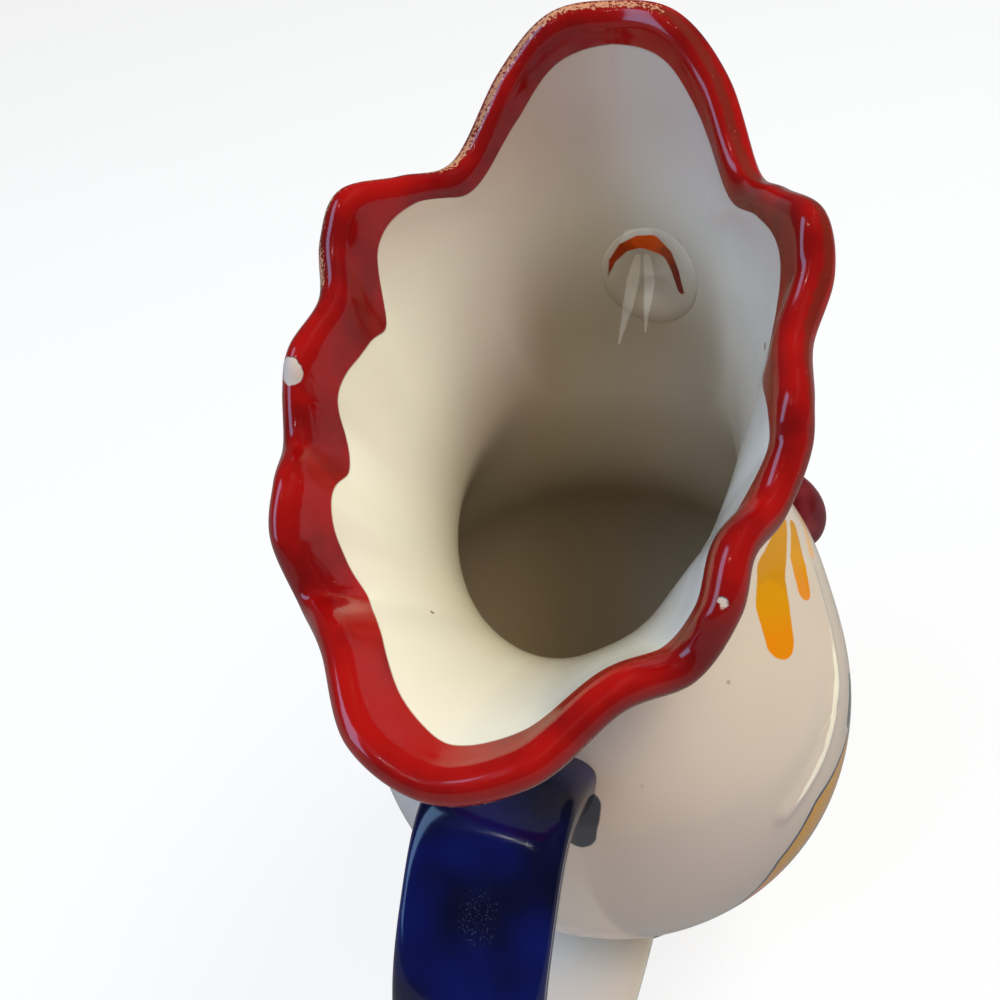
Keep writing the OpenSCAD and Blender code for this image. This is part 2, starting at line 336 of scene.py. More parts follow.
class Wire:
    """A socket that carries a number, a vector or a colour, with plain arithmetic on numbers."""

    def __init__(self, tree: "Tree", socket: bpy.types.NodeSocket) -> None:
        """Hold the socket and the tree that it belongs to."""
        self.tree = tree
        self.socket = socket

    def __add__(self, other: "Wire | float") -> "Wire":
        """Add."""
        return self.tree.maths("ADD", self, other)

    __radd__ = __add__

    def __mul__(self, other: "Wire | float") -> "Wire":
        """Multiply."""
        return self.tree.maths("MULTIPLY", self, other)

    __rmul__ = __mul__

    def __sub__(self, other: "Wire | float") -> "Wire":
        """Subtract."""
        return self.tree.maths("SUBTRACT", self, other)

    def __rsub__(self, other: float) -> "Wire":
        """Subtract from a number."""
        return self.tree.maths("SUBTRACT", other, self)

    def __truediv__(self, other: "Wire | float") -> "Wire":
        """Divide."""
        return self.tree.maths("DIVIDE", self, other)

    def lowest(self, other: "Wire | float") -> "Wire":
        """Take the smaller of two numbers."""
        return self.tree.maths("MINIMUM", self, other)

    def highest(self, other: "Wire | float") -> "Wire":
        """Take the larger of two numbers."""
        return self.tree.maths("MAXIMUM", self, other)

    def step(self, low: float, high: float) -> "Wire":
        """Rise smoothly from 0 at low to 1 at high, or fall where high is below low."""
        ends = (low, high, 0.0, 1.0) if low < high else (high, low, 1.0, 0.0)
        names = ("From Min", "From Max", "To Min", "To Max")
        return self.tree.wire(
            "ShaderNodeMapRange",
            {"interpolation_type": "SMOOTHSTEP"},
            {"Value": self, **dict(zip(names, ends))},
        )


class Tree:
    """Builds the nodes of one material or geometry tree."""

    def __init__(self, group: bpy.types.NodeTree) -> None:
        """Hold the node tree."""
        self.group = group

    def node(
        self,
        kind: str,
        settings: Mapping[str, Any] | None = None,
        sockets: Mapping[Any, Any] | None = None,
    ) -> bpy.types.Node:
        """Add a node.

        Args:
            kind: Blender's name of its type.
            settings: Its own settings, which are set first.
            sockets: A value or a wire for each input, by name or number.

        Returns:
            The node.
        """
        made = self.group.nodes.new(kind)
        for name, value in (settings or {}).items():
            setattr(made, name, value)
        for name, value in (sockets or {}).items():
            if isinstance(value, Wire):
                self.group.links.new(value.socket, made.inputs[name])
            else:
                made.inputs[name].default_value = value
        return made

    def wire(
        self,
        kind: str,
        settings: Mapping[str, Any] | None = None,
        sockets: Mapping[Any, Any] | None = None,
        output: str | int = 0,
    ) -> Wire:
        """Add a node and take one of its outputs."""
        return Wire(self, self.node(kind, settings, sockets).outputs[output])

    def maths(self, operation: str, *values: "Wire | float") -> Wire:
        """Add a sum on numbers."""
        return self.wire("ShaderNodeMath", {"operation": operation}, dict(enumerate(values)))

    def vector(self, operation: str, *values: Any, output: str | int = 0) -> Wire:
        """Add a sum on vectors."""
        settings = {"operation": operation}
        return self.wire("ShaderNodeVectorMath", settings, dict(enumerate(values)), output)

    def scaled(self, vector: Any, size: "Wire | float") -> Wire:
        """Scale a vector by a number."""
        return self.wire("ShaderNodeVectorMath", {"operation": "SCALE"}, {0: vector, 3: size})

    def parts(self, vector: Wire) -> tuple[Wire, ...]:
        """Take a vector apart into x, y and z."""
        return tuple(Wire(self, s) for s in self.node("ShaderNodeSeparateXYZ", None, {0: vector}).outputs)

    def joined(self, x: "Wire | float", y: "Wire | float", z: "Wire | float") -> Wire:
        """Make a vector of three numbers."""
        return self.wire("ShaderNodeCombineXYZ", None, {0: x, 1: y, 2: z})

    def away(self, place: Wire, point: Point) -> Wire:
        """Measure how far a place lies from a point, in millimetres."""
        centre = tuple(v * MM for v in point)
        return self.vector("DISTANCE", place, centre, output=1) * (1 / MM)

    def luck(self, place: Wire, scale: float, channel: int) -> Wire:
        """Read a random number that belongs to the nearest of many scattered points."""
        colour = self.spots(place, scale, "Color")
        return self.wire("ShaderNodeSeparateColor", None, {0: colour}, channel)

    def mix(self, share: "Wire | float", first: Any, second: Any) -> Wire:
        """Mix two colours by a share of the second."""
        return self.wire("ShaderNodeMix", {"data_type": "RGBA"}, {0: share, 6: first, 7: second}, 2)

    def noise(self, place: Wire, scale: float, detail: float = 3.0) -> Wire:
        """Read a cloudy number from 0 to 1."""
        sockets = {"Vector": place, "Scale": scale, "Detail": detail}
        return self.wire("ShaderNodeTexNoise", None, sockets)

    def waver(self, place: Wire, scale: float, detail: float, size: float) -> Wire:
        """Read a cloudy number that sways about 0, by half a size each way."""
        return self.noise(place, scale, detail) * size - size / 2

    def spots(self, place: Wire, scale: float, output: str = "Distance") -> Wire:
        """Read the distance to, or the random colour of, the nearest of many scattered points."""
        return self.wire("ShaderNodeTexVoronoi", None, {"Vector": place, "Scale": scale}, output)

    def mark(self, mark: Mark) -> Wire:
        """Read one of the piece's own point attributes."""
        return self.wire("ShaderNodeAttribute", {"attribute_name": mark.value}, None, "Fac")

    def seen(self, sheen: float) -> Wire:
        """Give 1 to straight and passing rays, and a level of its own to mirrored ones."""
        path = self.node("ShaderNodeLightPath")
        straight, glossy, passed = (
            Wire(self, path.outputs[f"Is {name} Ray"]) for name in ("Camera", "Glossy", "Transmission")
        )
        return straight.highest(glossy * sheen).highest(passed)


def new_material(name: str) -> tuple[bpy.types.Material, Tree]:
    """Make a material whose nodes are still to be built."""
    made = bpy.data.materials.new(name)
    made.use_nodes = True
    made.node_tree.nodes.clear()
    return made, Tree(made.node_tree)


@dataclass(frozen=True)
class Stroke:
    """A brush stroke: where it starts and ends, in millimetres, its half widths and colours."""

    start: Point
    end: Point
    start_r: float
    end_r: float
    start_colour: Colour
    end_colour: Colour
    outline: float = 0.0

    def depth(self, tree: Tree, place: Wire) -> tuple[Wire, Wire]:
        """Measure how deep a place lies inside the stroke.

        Args:
            tree: The material's nodes.
            place: Object coordinates, in metres.

        Returns:
            The depth in millimetres, below 0 outside, and the share of the way along it.
        """
        a = tuple(v * MM for v in self.start)
        run = tuple((e - s) * MM for s, e in zip(self.start, self.end))
        size = sum(v * v for v in run)
        off = tree.vector("SUBTRACT", place, a)
        share = tree.vector("DOT_PRODUCT", off, run, output=1) / size
        share = share.highest(0.0).lowest(1.0)
        along = tree.scaled(run, share)
        far = tree.vector("LENGTH", tree.vector("SUBTRACT", off, along), output=1)
        return share * (self.end_r - self.start_r) + self.start_r - far * (1 / MM), share


def chain(*stops: tuple[Point, float, Colour], outline: float = 0.0) -> tuple[Stroke, ...]:
    """Draw one long brush stroke through stops: place, half width and colour of each."""
    return tuple(
        Stroke(place, there, half, half_there, colour, colour_there, outline)
        for (place, half, colour), (there, half_there, colour_there) in zip(stops, stops[1:])
    )


YELLOW_TOP = srgb(200, 136, 6)
YELLOW_MID = srgb(212, 144, 4)
YELLOW_LOW = srgb(224, 132, 3)
OCHRE = srgb(206, 146, 30)
PEACH = srgb(226, 178, 128)
INNER_CREAM = srgb(238, 228, 208)
# Painted shade inside the pot: deep in the throat and high on the front wall
DEEP_SHADE_CREAM = srgb(184, 169, 140)
TOP_SHADE_CREAM = srgb(214, 192, 174)
ORANGE = srgb(248, 92, 16)
RUST = srgb(172, 60, 22)
BLOOD = srgb(122, 18, 14)
PALE = srgb(240, 232, 212)
UMBER = srgb(110, 92, 74)
SLATE = srgb(58, 74, 84)
# Painted shade under the strap's upper root, on the pot and on the strap's underside
GREY = srgb(72, 74, 80)

# Strokes of the hen's left flank, with a pale painted highlight along the wing's crest.
# The right flank has their mirror image.
WING_OUTLINE = 1.2
FLANK_STROKES_AND_GLINT = (
    *chain(
        ((38.6, -16, 123.5), 1.6, YELLOW_TOP),
        ((37.9, -1.0, 121.3), 4.7, YELLOW_TOP),
        ((39.1, 4.3, 117.9), 5.2, YELLOW_MID),
        ((41.5, 9.6, 113.4), 4.2, YELLOW_LOW),
    ),
    *chain(
        ((40.6, -18.4, 120.4), 1.2, YELLOW_TOP),
        ((42.6, -10.6, 117.3), 2.7, YELLOW_MID),
        ((44.8, -5.4, 113.6), 2.3, YELLOW_LOW),
    ),
    *chain(((41.8, -27, 117), 0.9, PEACH), ((45.2, -17.5, 113.7), 1.6, PEACH)),
    # Painted highlight: a pale line along the wing's crest
    *chain(
        ((50.8, -3, 105.5), 0.4, PALE),
        ((54.3, 6, 99.5), 1.2, PALE),
        ((54.2, 20, 93), 1.2, PALE),
        ((48.5, 33, 88.5), 0.2, PALE),
    ),
    *chain(
        ((58.5, 8, 75.5), 5.6, OCHRE),
        ((54.3, 23.5, 75.2), 5.8, OCHRE),
        ((49.3, 32, 68.3), 5.4, OCHRE),
        ((42.6, 38.2, 57.3), 3.0, YELLOW_LOW),
        outline=WING_OUTLINE,
    ),
    *chain(((58.9, -3, 65.5), 4.0, OCHRE), ((53.8, 22, 62.0), 3.4, YELLOW_LOW), outline=WING_OUTLINE),
    *chain(((58.0, -5, 55.5), 3.6, OCHRE), ((50.8, 24, 51.0), 2.4, YELLOW_LOW), outline=WING_OUTLINE),
    *chain(((57.6, -3.5, 88), 2.2, SLATE), ((58.4, 4, 84.5), 2.4, SLATE)),
)

# Painted light round the beak's hollow, inside the neck: a painted highlight above the arc,
# two pale streaks painted as highlights, the orange arc painted as the reflection of the red
# rim, and the thin line of its ridge, a painted highlight above and painted shade below
HOLLOW_LIGHT_STROKES = (
    # Painted highlight above the arc
    *chain(
        ((3.4, -48.4, 170.8), 1.4, PALE), ((1.6, -48.3, 174.0), 1.5, PALE), ((-3.1, -47.5, 175.0), 1.2, PALE)
    ),
    # Two pale streaks painted as highlights
    *chain(
        ((0.3, -49.7, 168.0), 0.8, PALE),
        ((1.8, -50.4, 161.1), 1.5, PALE),
        ((3.1, -50.3, 154.4), 1.3, PALE),
        ((5.7, -50.4, 143.4), 0.3, PALE),
    ),
    *chain(
        ((-1.8, -49.9, 168.0), 0.9, PALE),
        ((-2.0, -51.0, 160.8), 1.3, PALE),
        ((-1.4, -50.8, 153.5), 0.9, PALE),
        ((-0.8, -50.8, 147.0), 0.3, PALE),
    ),
    # The orange arc, painted as the reflection of the red rim
    *chain(
        ((7.1, -48.4, 163.1), 0.3, BLOOD),
        ((5.9, -48.3, 167.2), 0.9, RUST),
        ((3.2, -48.5, 170.6), 1.5, RUST),
        ((-0.6, -48.4, 172.2), 2.0, ORANGE),
        ((-3.9, -47.9, 172.0), 2.7, ORANGE),
        ((-7.1, -46.8, 170.2), 1.9, RUST),
        ((-9.0, -46.1, 166.6), 1.5, BLOOD),
        ((-10.4, -45.8, 162.2), 1.2, BLOOD),
    ),
    # The ridge's thin line: painted highlight above, painted shade below
    *chain(
        ((-11.3, -43.0, 179.9), 0.35, PALE),
        ((-12.8, -42.6, 176.3), 0.3, PALE),
        ((-13.1, -42.8, 169.1), 0.25, UMBER),
        ((-13.3, -43.0, 165.4), 0.25, UMBER),
    ),
)

# Painted shade: a grey patch on the pot under the strap's upper root
ROOT_SHADE_STROKES = chain(((-9.6, 51.4, 102.5), 3.6, GREY), ((-9.4, 54.4, 97.0), 3.2, GREY))

# Crest of the wing in relief, on the hen's left flank
WING_CREST = ((45.5, -12, 113), (50.4, -3, 105), (53.8, 6, 99), (53.6, 20, 92.5), (47.5, 34, 87.5))

# Middle of the fuller shoulder round the wattle, on the hen's left
SHOULDER_FULL = (41.0, -27.0, 111.0)

# The wing's crest and the shoulder: how far they rise and how wide, in millimetres
CREST_RISE, CREST_SPREAD = 1.0, 2.2
SHOULDER_RISE, SHOULDER_SPREAD = 3.0, 17


def inner_cream_and_shade(tree: Tree, place: Wire) -> Wire:
    """Give the cream of the inside, with painted shade deep in the throat, high on the front wall and under
    the front lobe.
    """
    _, back, up = tree.parts(place)
    ahead, height = back * (-1 / MM), up * (1 / MM)
    # Painted shade under the front lobe, high on the front wall and deep in the throat
    front = height.step(196.0, 146.0) * ahead.step(27.0, 42.0) * 0.85
    cream = tree.mix(height.step(175.0, 205.0), INNER_CREAM, TOP_SHADE_CREAM)
    return tree.mix(height.step(166.0, 120.0).highest(front), cream, DEEP_SHADE_CREAM)


def painted(
    tree: Tree, place: Wire, paint: Wire, strokes: Sequence[Stroke], where: Wire, waver: Wire
) -> Wire:
    """Paint brush strokes on a ground.

    Args:
        tree: The material's nodes.
        place: Object coordinates, in metres.
        paint: The colour of the ground.
        strokes: The strokes, from the lowest to the topmost.
        where: 1 where the strokes are allowed.
        waver: How far the edges waver, in millimetres.

    Returns:
        The colour with the strokes on it.
    """
    for stroke in (stroke for stroke in strokes if stroke.outline):
        depth = stroke.depth(tree, place)[0] + waver
        paint = tree.mix((depth + stroke.outline).step(-0.15, 0.2) * where, paint, SLATE)
    for stroke in strokes:
        depth, share = stroke.depth(tree, place)
        tone = tree.mix(share, stroke.start_colour, stroke.end_colour)
        paint = tree.mix((depth + waver).step(-0.15, 0.25) * where, paint, tone)
    return paint


@dataclass(frozen=True)
class Glaze:
    """A glossy fired glaze."""

    name: str
    roughness: float = 0.13
    ior: float = 1.52
    wave_mm: float = 0.10
    wave_scale: float = 70.0

    def colour(self, tree: Tree, place: Wire) -> Wire:
        """Give the glaze's colour over the piece."""
        raise NotImplementedError

    def dull(self, tree: Tree, place: Wire) -> "Wire | float":
        """Give a share of dullness, from 0 on sound glaze to 1 on bare clay."""
        return 0.0

    def height(self, tree: Tree, place: Wire) -> Wire:
        """Give the glaze's small relief in millimetres."""
        return tree.noise(place, self.wave_scale, 1.0) * self.wave_mm

    def material(self) -> bpy.types.Material:
        """Build the material.

        Returns:
            The material, with its colour, roughness and relief linked.
        """
        made, tree = new_material(self.name)
        place = tree.wire("ShaderNodeTexCoord", None, None, "Object")
        dull = self.dull(tree, place)
        uneven = tree.noise(place, 160.0, 2.0) * 0.08 + (self.roughness - 0.04)
        rough = uneven if isinstance(dull, float) else uneven + dull * 0.5
        relief = {"Strength": 1.0, "Distance": MM, "Height": self.height(tree, place)}
        bump = tree.wire("ShaderNodeBump", None, relief)
        skin = {"Base Color": self.colour(tree, place), "Roughness": rough, "Normal": bump, "IOR": self.ior}
        shader = tree.wire("ShaderNodeBsdfPrincipled", None, skin)
        tree.node("ShaderNodeOutputMaterial", None, {"Surface": shader})
        return made


@dataclass(frozen=True)
class PotGlaze(Glaze):
    """Cream-white glaze of the pot, with its painted strokes, the comb's red band, and painted shade,
    highlights and reflection.
    """

    outside: Colour = srgb(211, 195, 180)
    cool: Colour = srgb(204, 189, 177)
    # Painted shade low on the belly
    low: Colour = srgb(188, 170, 160)
    red: Colour = srgb(160, 12, 8)
    dark_red: Colour = srgb(118, 5, 6)
    brown: Colour = srgb(112, 34, 22)
    tan: Colour = srgb(222, 160, 118)
    clay: Colour = srgb(214, 190, 166)
    speck: Colour = srgb(120, 92, 52)
    speck_scale: float = 150.0
    pinhole_scale: float = 95.0
    chips: tuple[tuple[float, float, float, float], ...] = (
        (46.6, 26.0, 182.5, 2.6),
        (45.2, 3.0, 204.0, 1.3),
        (-34.4, 50.9, 166.6, 1.0),
        (-46.0, 21.0, 186.0, 0.8),
        (-20.5, -31.0, 201.0, 0.8),
    )
    eye: Point = (27.0, -42.0, 176.0)
    eye_rings: tuple[tuple[float, float, Colour], ...] = (
        (5.6, 5.2, srgb(24, 44, 120)),
        (4.4, 4.1, PALE),
        (2.9, 2.6, srgb(16, 16, 20)),
    )

    def chipped(self, tree: Tree, place: Wire) -> Wire:
        """Give 1 where the lip is chipped to the clay."""
        ragged = tree.waver(place, 700.0, 2.0, 1.6)
        deep: Wire | None = None
        for *point, radius in self.chips:
            inside = radius - tree.away(place, point) + ragged
            deep = inside if deep is None else deep.highest(inside)
        return deep.step(-0.15, 0.15)

    def band(self, tree: Tree, place: Wire) -> Wire:
        """Give 1 on the comb's painted band, with the wavering edge of a brush."""
        waver = tree.waver(place, 80.0, 1.0, 1.2)
        return (tree.mark(Mark.RED_EDGE) + waver).step(-0.2, 0.2)

    def specks(self, tree: Tree, place: Wire) -> Wire:
        """Give 1 on the few brown specks in the glaze."""
        near = tree.spots(place, self.speck_scale).step(0.16, 0.09)
        return near * tree.luck(place, self.speck_scale, 0).step(0.955, 0.965)

    def pinholes(self, tree: Tree, place: Wire) -> Wire:
        """Give 1 in the tiny holes of the glaze."""
        near = tree.spots(place, self.pinhole_scale).step(0.045, 0.03)
        return near * tree.luck(place, self.pinhole_scale, 1).step(0.90, 0.91)

    def ground(self, tree: Tree, place: Wire, outside: Wire) -> Wire:
        """Give the cream of both faces, with painted shade low on the belly and inside the pot, and its
        specks and pinholes.
        """
        height = tree.parts(place)[2] * (1 / MM)
        paint = tree.mix(tree.noise(place, 22.0, 2.0).step(0.35, 0.7), self.outside, self.cool)
        # Painted shade: the outer cream darkens towards the bottom of the belly
        paint = tree.mix(height.step(104.0, 58.0) * 0.6, paint, self.low)
        paint = tree.mix(outside, inner_cream_and_shade(tree, place), paint)
        dark = (self.specks(tree, place) * 0.8).highest(self.pinholes(tree, place) * 0.9)
        return tree.mix(dark, paint, self.speck)

    def worn_red(self, tree: Tree, place: Wire) -> Wire:
        """Give the comb's red, which breaks to brown on its crest and wears to tan."""
        red = tree.mix(tree.noise(place, 60.0, 3.0).step(0.35, 0.7), self.red, self.dark_red)
        crest = tree.mark(Mark.CREST)
        broken = (crest + tree.waver(place, 500.0, 3.0, 0.8)).step(0.35, 0.9)
        red = tree.mix(broken * 0.8, red, self.brown)
        aside = tree.parts(place)[0] * (1 / MM)
        worn = crest * tree.noise(place, 70.0, 2.0).step(0.30, 0.52)
        worn = worn * (aside.step(-30.0, 10.0) * 0.9 + 0.1)
        worn = (worn + tree.waver(place, 1700.0, 2.0, 2.4)).step(0.60, 0.84)
        return tree.mix(worn * 0.7, red, self.tan)

    def colour(self, tree: Tree, place: Wire) -> Wire:
        """Paint the strokes, the painted highlights, reflection and shade, the eyes and the red band on the
        cream.
        """
        outside = tree.mark(Mark.OUTSIDE).step(0.4, 0.6)
        paint = self.ground(tree, place, outside)
        x, y, z = tree.parts(place)
        side = tree.joined(tree.maths("ABSOLUTE", x), y, z)
        streak = tree.waver(side, 300.0, 2.0, 0.6)
        paint = painted(tree, side, paint, FLANK_STROKES_AND_GLINT, outside, streak)
        # Painted highlights, reflection and shade in the beak's hollow
        paint = painted(tree, place, paint, HOLLOW_LIGHT_STROKES, 1 - outside, streak)
        # Painted shade under the strap's upper root
        paint = painted(tree, place, paint, ROOT_SHADE_STROKES, outside, streak)
        far = tree.away(side, self.eye) + streak * 0.5
        for outer, inner, colour in self.eye_rings:
            paint = tree.mix(far.step(outer, inner) * outside, paint, colour)
        paint = tree.mix(self.band(tree, place), paint, self.worn_red(tree, place))
        return tree.mix(self.chipped(tree, place), paint, self.clay)

    def dull(self, tree: Tree, place: Wire) -> Wire:
        """Give the dull clay of the chips."""
        return self.chipped(tree, place)

    def height(self, tree: Tree, place: Wire) -> Wire:
        """Sink pinholes and chips, and raise the painted band a little."""
        wave = tree.noise(place, self.wave_scale, 1.0) * self.wave_mm
        ripple = tree.noise(place, 330.0, 2.0) * 0.02
        raised = self.band(tree, place) * 0.06
        sunk = self.pinholes(tree, place) * 0.15 + self.chipped(tree, place) * 0.35
        return wave + ripple + raised - sunk


@dataclass(frozen=True)
class StrapGlaze(Glaze):
    """Cobalt glaze on the strap's outer face, with cream on its inner face, paler than the pot's as painted
    light, and painted shade under the upper root.
    """

    deep: Colour = srgb(2, 4, 36)
    bright: Colour = srgb(5, 18, 84)
    # Pale line of thin glaze at the side edges, also a painted highlight
    thin: Colour = srgb(150, 146, 152)
    # Paler than the pot's inner cream, as painted light
    cream: Colour = srgb(246, 240, 224)
    rubbed: Colour = srgb(74, 78, 96)
    rubbed_along: tuple[float, float] = (0.295, 0.036)
    rubbed_across: tuple[float, float] = (-0.05, 0.32)

    def colour(self, tree: Tree, place: Wire) -> Wire:
        """Lay cobalt over the outer face and let it thin at the edges, where its pale line is also a painted
        highlight.
        """
        face = tree.mark(Mark.FACE) + tree.waver(place, 150.0, 2.0, 0.12)
        along = tree.mark(Mark.ALONG)
        pool = tree.noise(place, 45.0, 2.0).step(0.35, 0.68)
        blue = tree.mix(pool, self.deep, self.bright)
        # A pale line along each side edge: thin glaze, painted pale also as a highlight
        edge = tree.maths("ABSOLUTE", tree.mark(Mark.FACE) - 0.10)
        blue = tree.mix(edge.step(0.035, 0.015) * along.step(0.16, 0.22) * 0.8, blue, self.thin)
        dent = (along - self.rubbed_along[0]) / self.rubbed_along[1]
        across = (tree.mark(Mark.ACROSS) - self.rubbed_across[0]) / self.rubbed_across[1]
        far = dent * dent + across * across + tree.waver(place, 200.0, 2.0, 1.2)
        scratch = tree.noise(place, 2400.0, 4.0).step(0.52, 0.70)
        blue = tree.mix(far.step(1.0, 0.1) * scratch * 0.4, blue, self.rubbed)
        # The inner face: the paler cream, with painted shade in grey under the upper root
        plain = tree.mix(along.step(0.28, 0.22), self.cream, GREY)
        cut = along.step(0.42, 0.60) * 0.70 - 0.42
        return tree.mix((face - cut).step(0.04, -0.04), blue, plain)


@dataclass(frozen=True)
class BeakGlaze(Glaze):
    """Yellow-orange glaze outside the beak and cream inside, with painted shade and highlights and the
    orange arc painted as a reflection.
    """

    yellow: Colour = srgb(232, 158, 16)

    def colour(self, tree: Tree, place: Wire) -> Wire:
        """Blend from the yellow root to the orange tip and paint light and shade in the hollow."""
        cloud = tree.noise(place, 90.0, 3.0)
        ahead = tree.parts(place)[1] * (-1 / MM)
        outer = tree.mix((ahead + cloud * 8).step(66.0, 82.0), self.yellow, ORANGE)
        outside = tree.mark(Mark.OUTSIDE).step(0.4, 0.6)
        paint = tree.mix(outside, inner_cream_and_shade(tree, place), outer)
        return painted(tree, place, paint, HOLLOW_LIGHT_STROKES, 1 - outside, cloud * 0.6 - 0.3)


@dataclass(frozen=True)
class WattleGlaze(Glaze):
    """Maroon glaze of the wattles, thinner on their crests."""

    maroon: Colour = srgb(92, 12, 22)
    thin: Colour = srgb(136, 48, 54)

    def colour(self, tree: Tree, place: Wire) -> Wire:
        """Let the maroon break to a paler tone on the crest."""
        crest = tree.mark(Mark.CREST) * tree.noise(place, 120.0, 3.0).step(0.35, 0.65)
        return tree.mix(crest * 0.6, self.maroon, self.thin)


# The pitcher's pieces


@dataclass
class Pot:
    """Foot and belly, turned round the upright axis. Sizes in millimetres."""

    foot_d: float = 64.0
    waist_d: float = 60.0
    waist_h: float = 22.0
    floor_t: float = 7.0
    edge_r: float = 1.5
    hollow: float = 2.0
    belly_d: float = 118.0
    belly_draw: float = 1.7
    seam_h: float = 96.0
    wall: float = 5.0
    foot_columns: int = 192
    columns: int = 512
    rings: int = 110

    @property
    def belly_r(self) -> float:
        """Radius of the belly."""
        return self.belly_d / 2

    @property
    def belly_h(self) -> float:
        """Height of the belly's centre."""
        return self.waist_h + math.sqrt(self.belly_r**2 - (self.waist_d / 2) ** 2) + self.belly_draw

    def side(self, inset: float = 0.0) -> np.ndarray:
        """List the foot's outer side from its rounded edge to the waist."""
        foot_r, waist_r = self.foot_d / 2, self.waist_d / 2
        s = np.linspace(0, 1, 13)
        radius = foot_r + (waist_r - foot_r) * s - self.hollow * np.sin(math.pi * s) - inset
        return np.stack([radius, self.edge_r + (self.waist_h - self.edge_r) * s], axis=1)

    def ball(self, inset: float, steps: int) -> np.ndarray:
        """List the belly's outline from the waist to the seam.

        Args:
            inset: How far the outline lies inside the outer face.
            steps: How many stretches it has.

        Returns:
            Radius and height of each point.
        """
        radius = self.belly_r - inset
        x, y = self.waist_d / 2 - inset, self.waist_h - self.belly_h
        far = math.hypot(x, y)
        low = math.degrees(math.atan2(y, x) + math.acos(min(1, radius / far)))
        high = math.degrees(math.asin((self.seam_h - self.belly_h) / radius))
        first = np.array([[x, self.waist_h]])
        return np.vstack([first, arc((0, self.belly_h), radius, low, high, steps)])

    def foot(self) -> bpy.types.Object:
        """Build the foot."""
        inner_r = self.waist_d / 2 - self.hollow - self.wall
        foot_r = self.foot_d / 2
        edge = arc((foot_r - self.edge_r, self.edge_r), self.edge_r, 270, 350, 6)
        inside = [
            [self.waist_d / 2 - self.wall, self.waist_h],
            [inner_r, self.floor_t + self.wall],
            [inner_r - self.wall * 0.3, self.floor_t + self.wall * 0.3],
            [inner_r - self.wall, self.floor_t],
            [0, self.floor_t],
        ]
        outline = np.vstack([[[0, 0]], edge, self.side(), inside])
        piece = turned("glazed_foot", outline, self.foot_columns)
        radius = np.array([math.hypot(v.co.x, v.co.y) for v in piece.data.vertices]) / MM
        mark_pot(piece, (radius > inner_r + 1).astype(float))
        return piece

    def belly(self) -> bpy.types.Object:
        """Build the belly, with the wing's crest in relief."""
        outer = self.ball(0, self.rings)
        inner = self.ball(self.wall, 24)[::-1]
        piece = turned("glazed_belly", np.vstack([outer, inner]), self.columns)
        index = np.arange(len(piece.data.vertices)) // self.columns
        outside = (index < len(outer)).astype(float)
        raise_wing(piece, outside)
        mark_pot(piece, outside)
        return piece


def raise_wing(piece: bpy.types.Object, outside: np.ndarray) -> None:
    """Raise the wing's crest and fill out the shoulder on the outer face of a piece."""
    count = len(piece.data.vertices)
    place = np.empty(count * 3)
    piece.data.vertices.foreach_get("co", place)
    place = place.reshape(-1, 3) / MM
    normal = np.empty(count * 3)
    piece.data.vertex_normals.foreach_get("vector", normal)
    side = np.abs(place * [1, 0, 0]) + place * [0, 1, 1]
    far = near_path(side, WING_CREST)
    full = np.linalg.norm(side - SHOULDER_FULL, axis=1)
    lift = CREST_RISE * np.exp(-((far / CREST_SPREAD) ** 2))
    lift = (lift + SHOULDER_RISE * np.exp(-((full / SHOULDER_SPREAD) ** 2))) * outside
    place = kept_inside(place + normal.reshape(-1, 3) * lift[:, None], 0.002)
    piece.data.vertices.foreach_set("co", (place * MM).ravel())
    piece.data.update()


# The ruffled rim, from the middle of the front lobe round to the middle of the back lobe:
# shares across the half width, back along the length, up from the back lip to the front
# lip, and the direction round the throat that the fold comes from.
RIM = (
    (0, 0, 1, 0),
    (0.27, 0.025, 0.985, 0.10),
    (0.48, 0.065, 0.865, 0.21),
    (0.65, 0.145, 0.685, 0.32),
    (0.80, 0.235, 0.705, 0.41),
    (0.94, 0.325, 0.735, 0.49),
    (0.99, 0.375, 0.650, 0.55),
    (0.95, 0.440, 0.550, 0.60),
    (0.985, 0.525, 0.500, 0.66),
    (1, 0.560, 0.415, 0.70),
    (0.95, 0.620, 0.325, 0.74),
    (0.88, 0.695, 0.325, 0.785),
    (0.86, 0.745, 0.230, 0.82),
    (0.74, 0.785, 0.095, 0.86),
    (0.54, 0.860, 0.120, 0.91),
    (0.32, 0.965, 0.075, 0.95),
    (0, 1, 0.030, 1),
)
# How deep the red band reaches, in millimetres: inside at each row of the rim, and outside
BAND_LEFT = (3.5, 5, 6.5, 3, 1.5, 8.5, 17, 10, 8.5, 11, 10, 7, 9.5, 8.5, 7.5, 7.5, 5.5)
BAND_RIGHT = (3.5, 4.5, 5.5, 2.5, 2, 7.5, 17, 9, 3, 2.5, 4, 2.5, 2.5, 3, 4, 5, 5.5)
BAND_OUTSIDE = 8.5


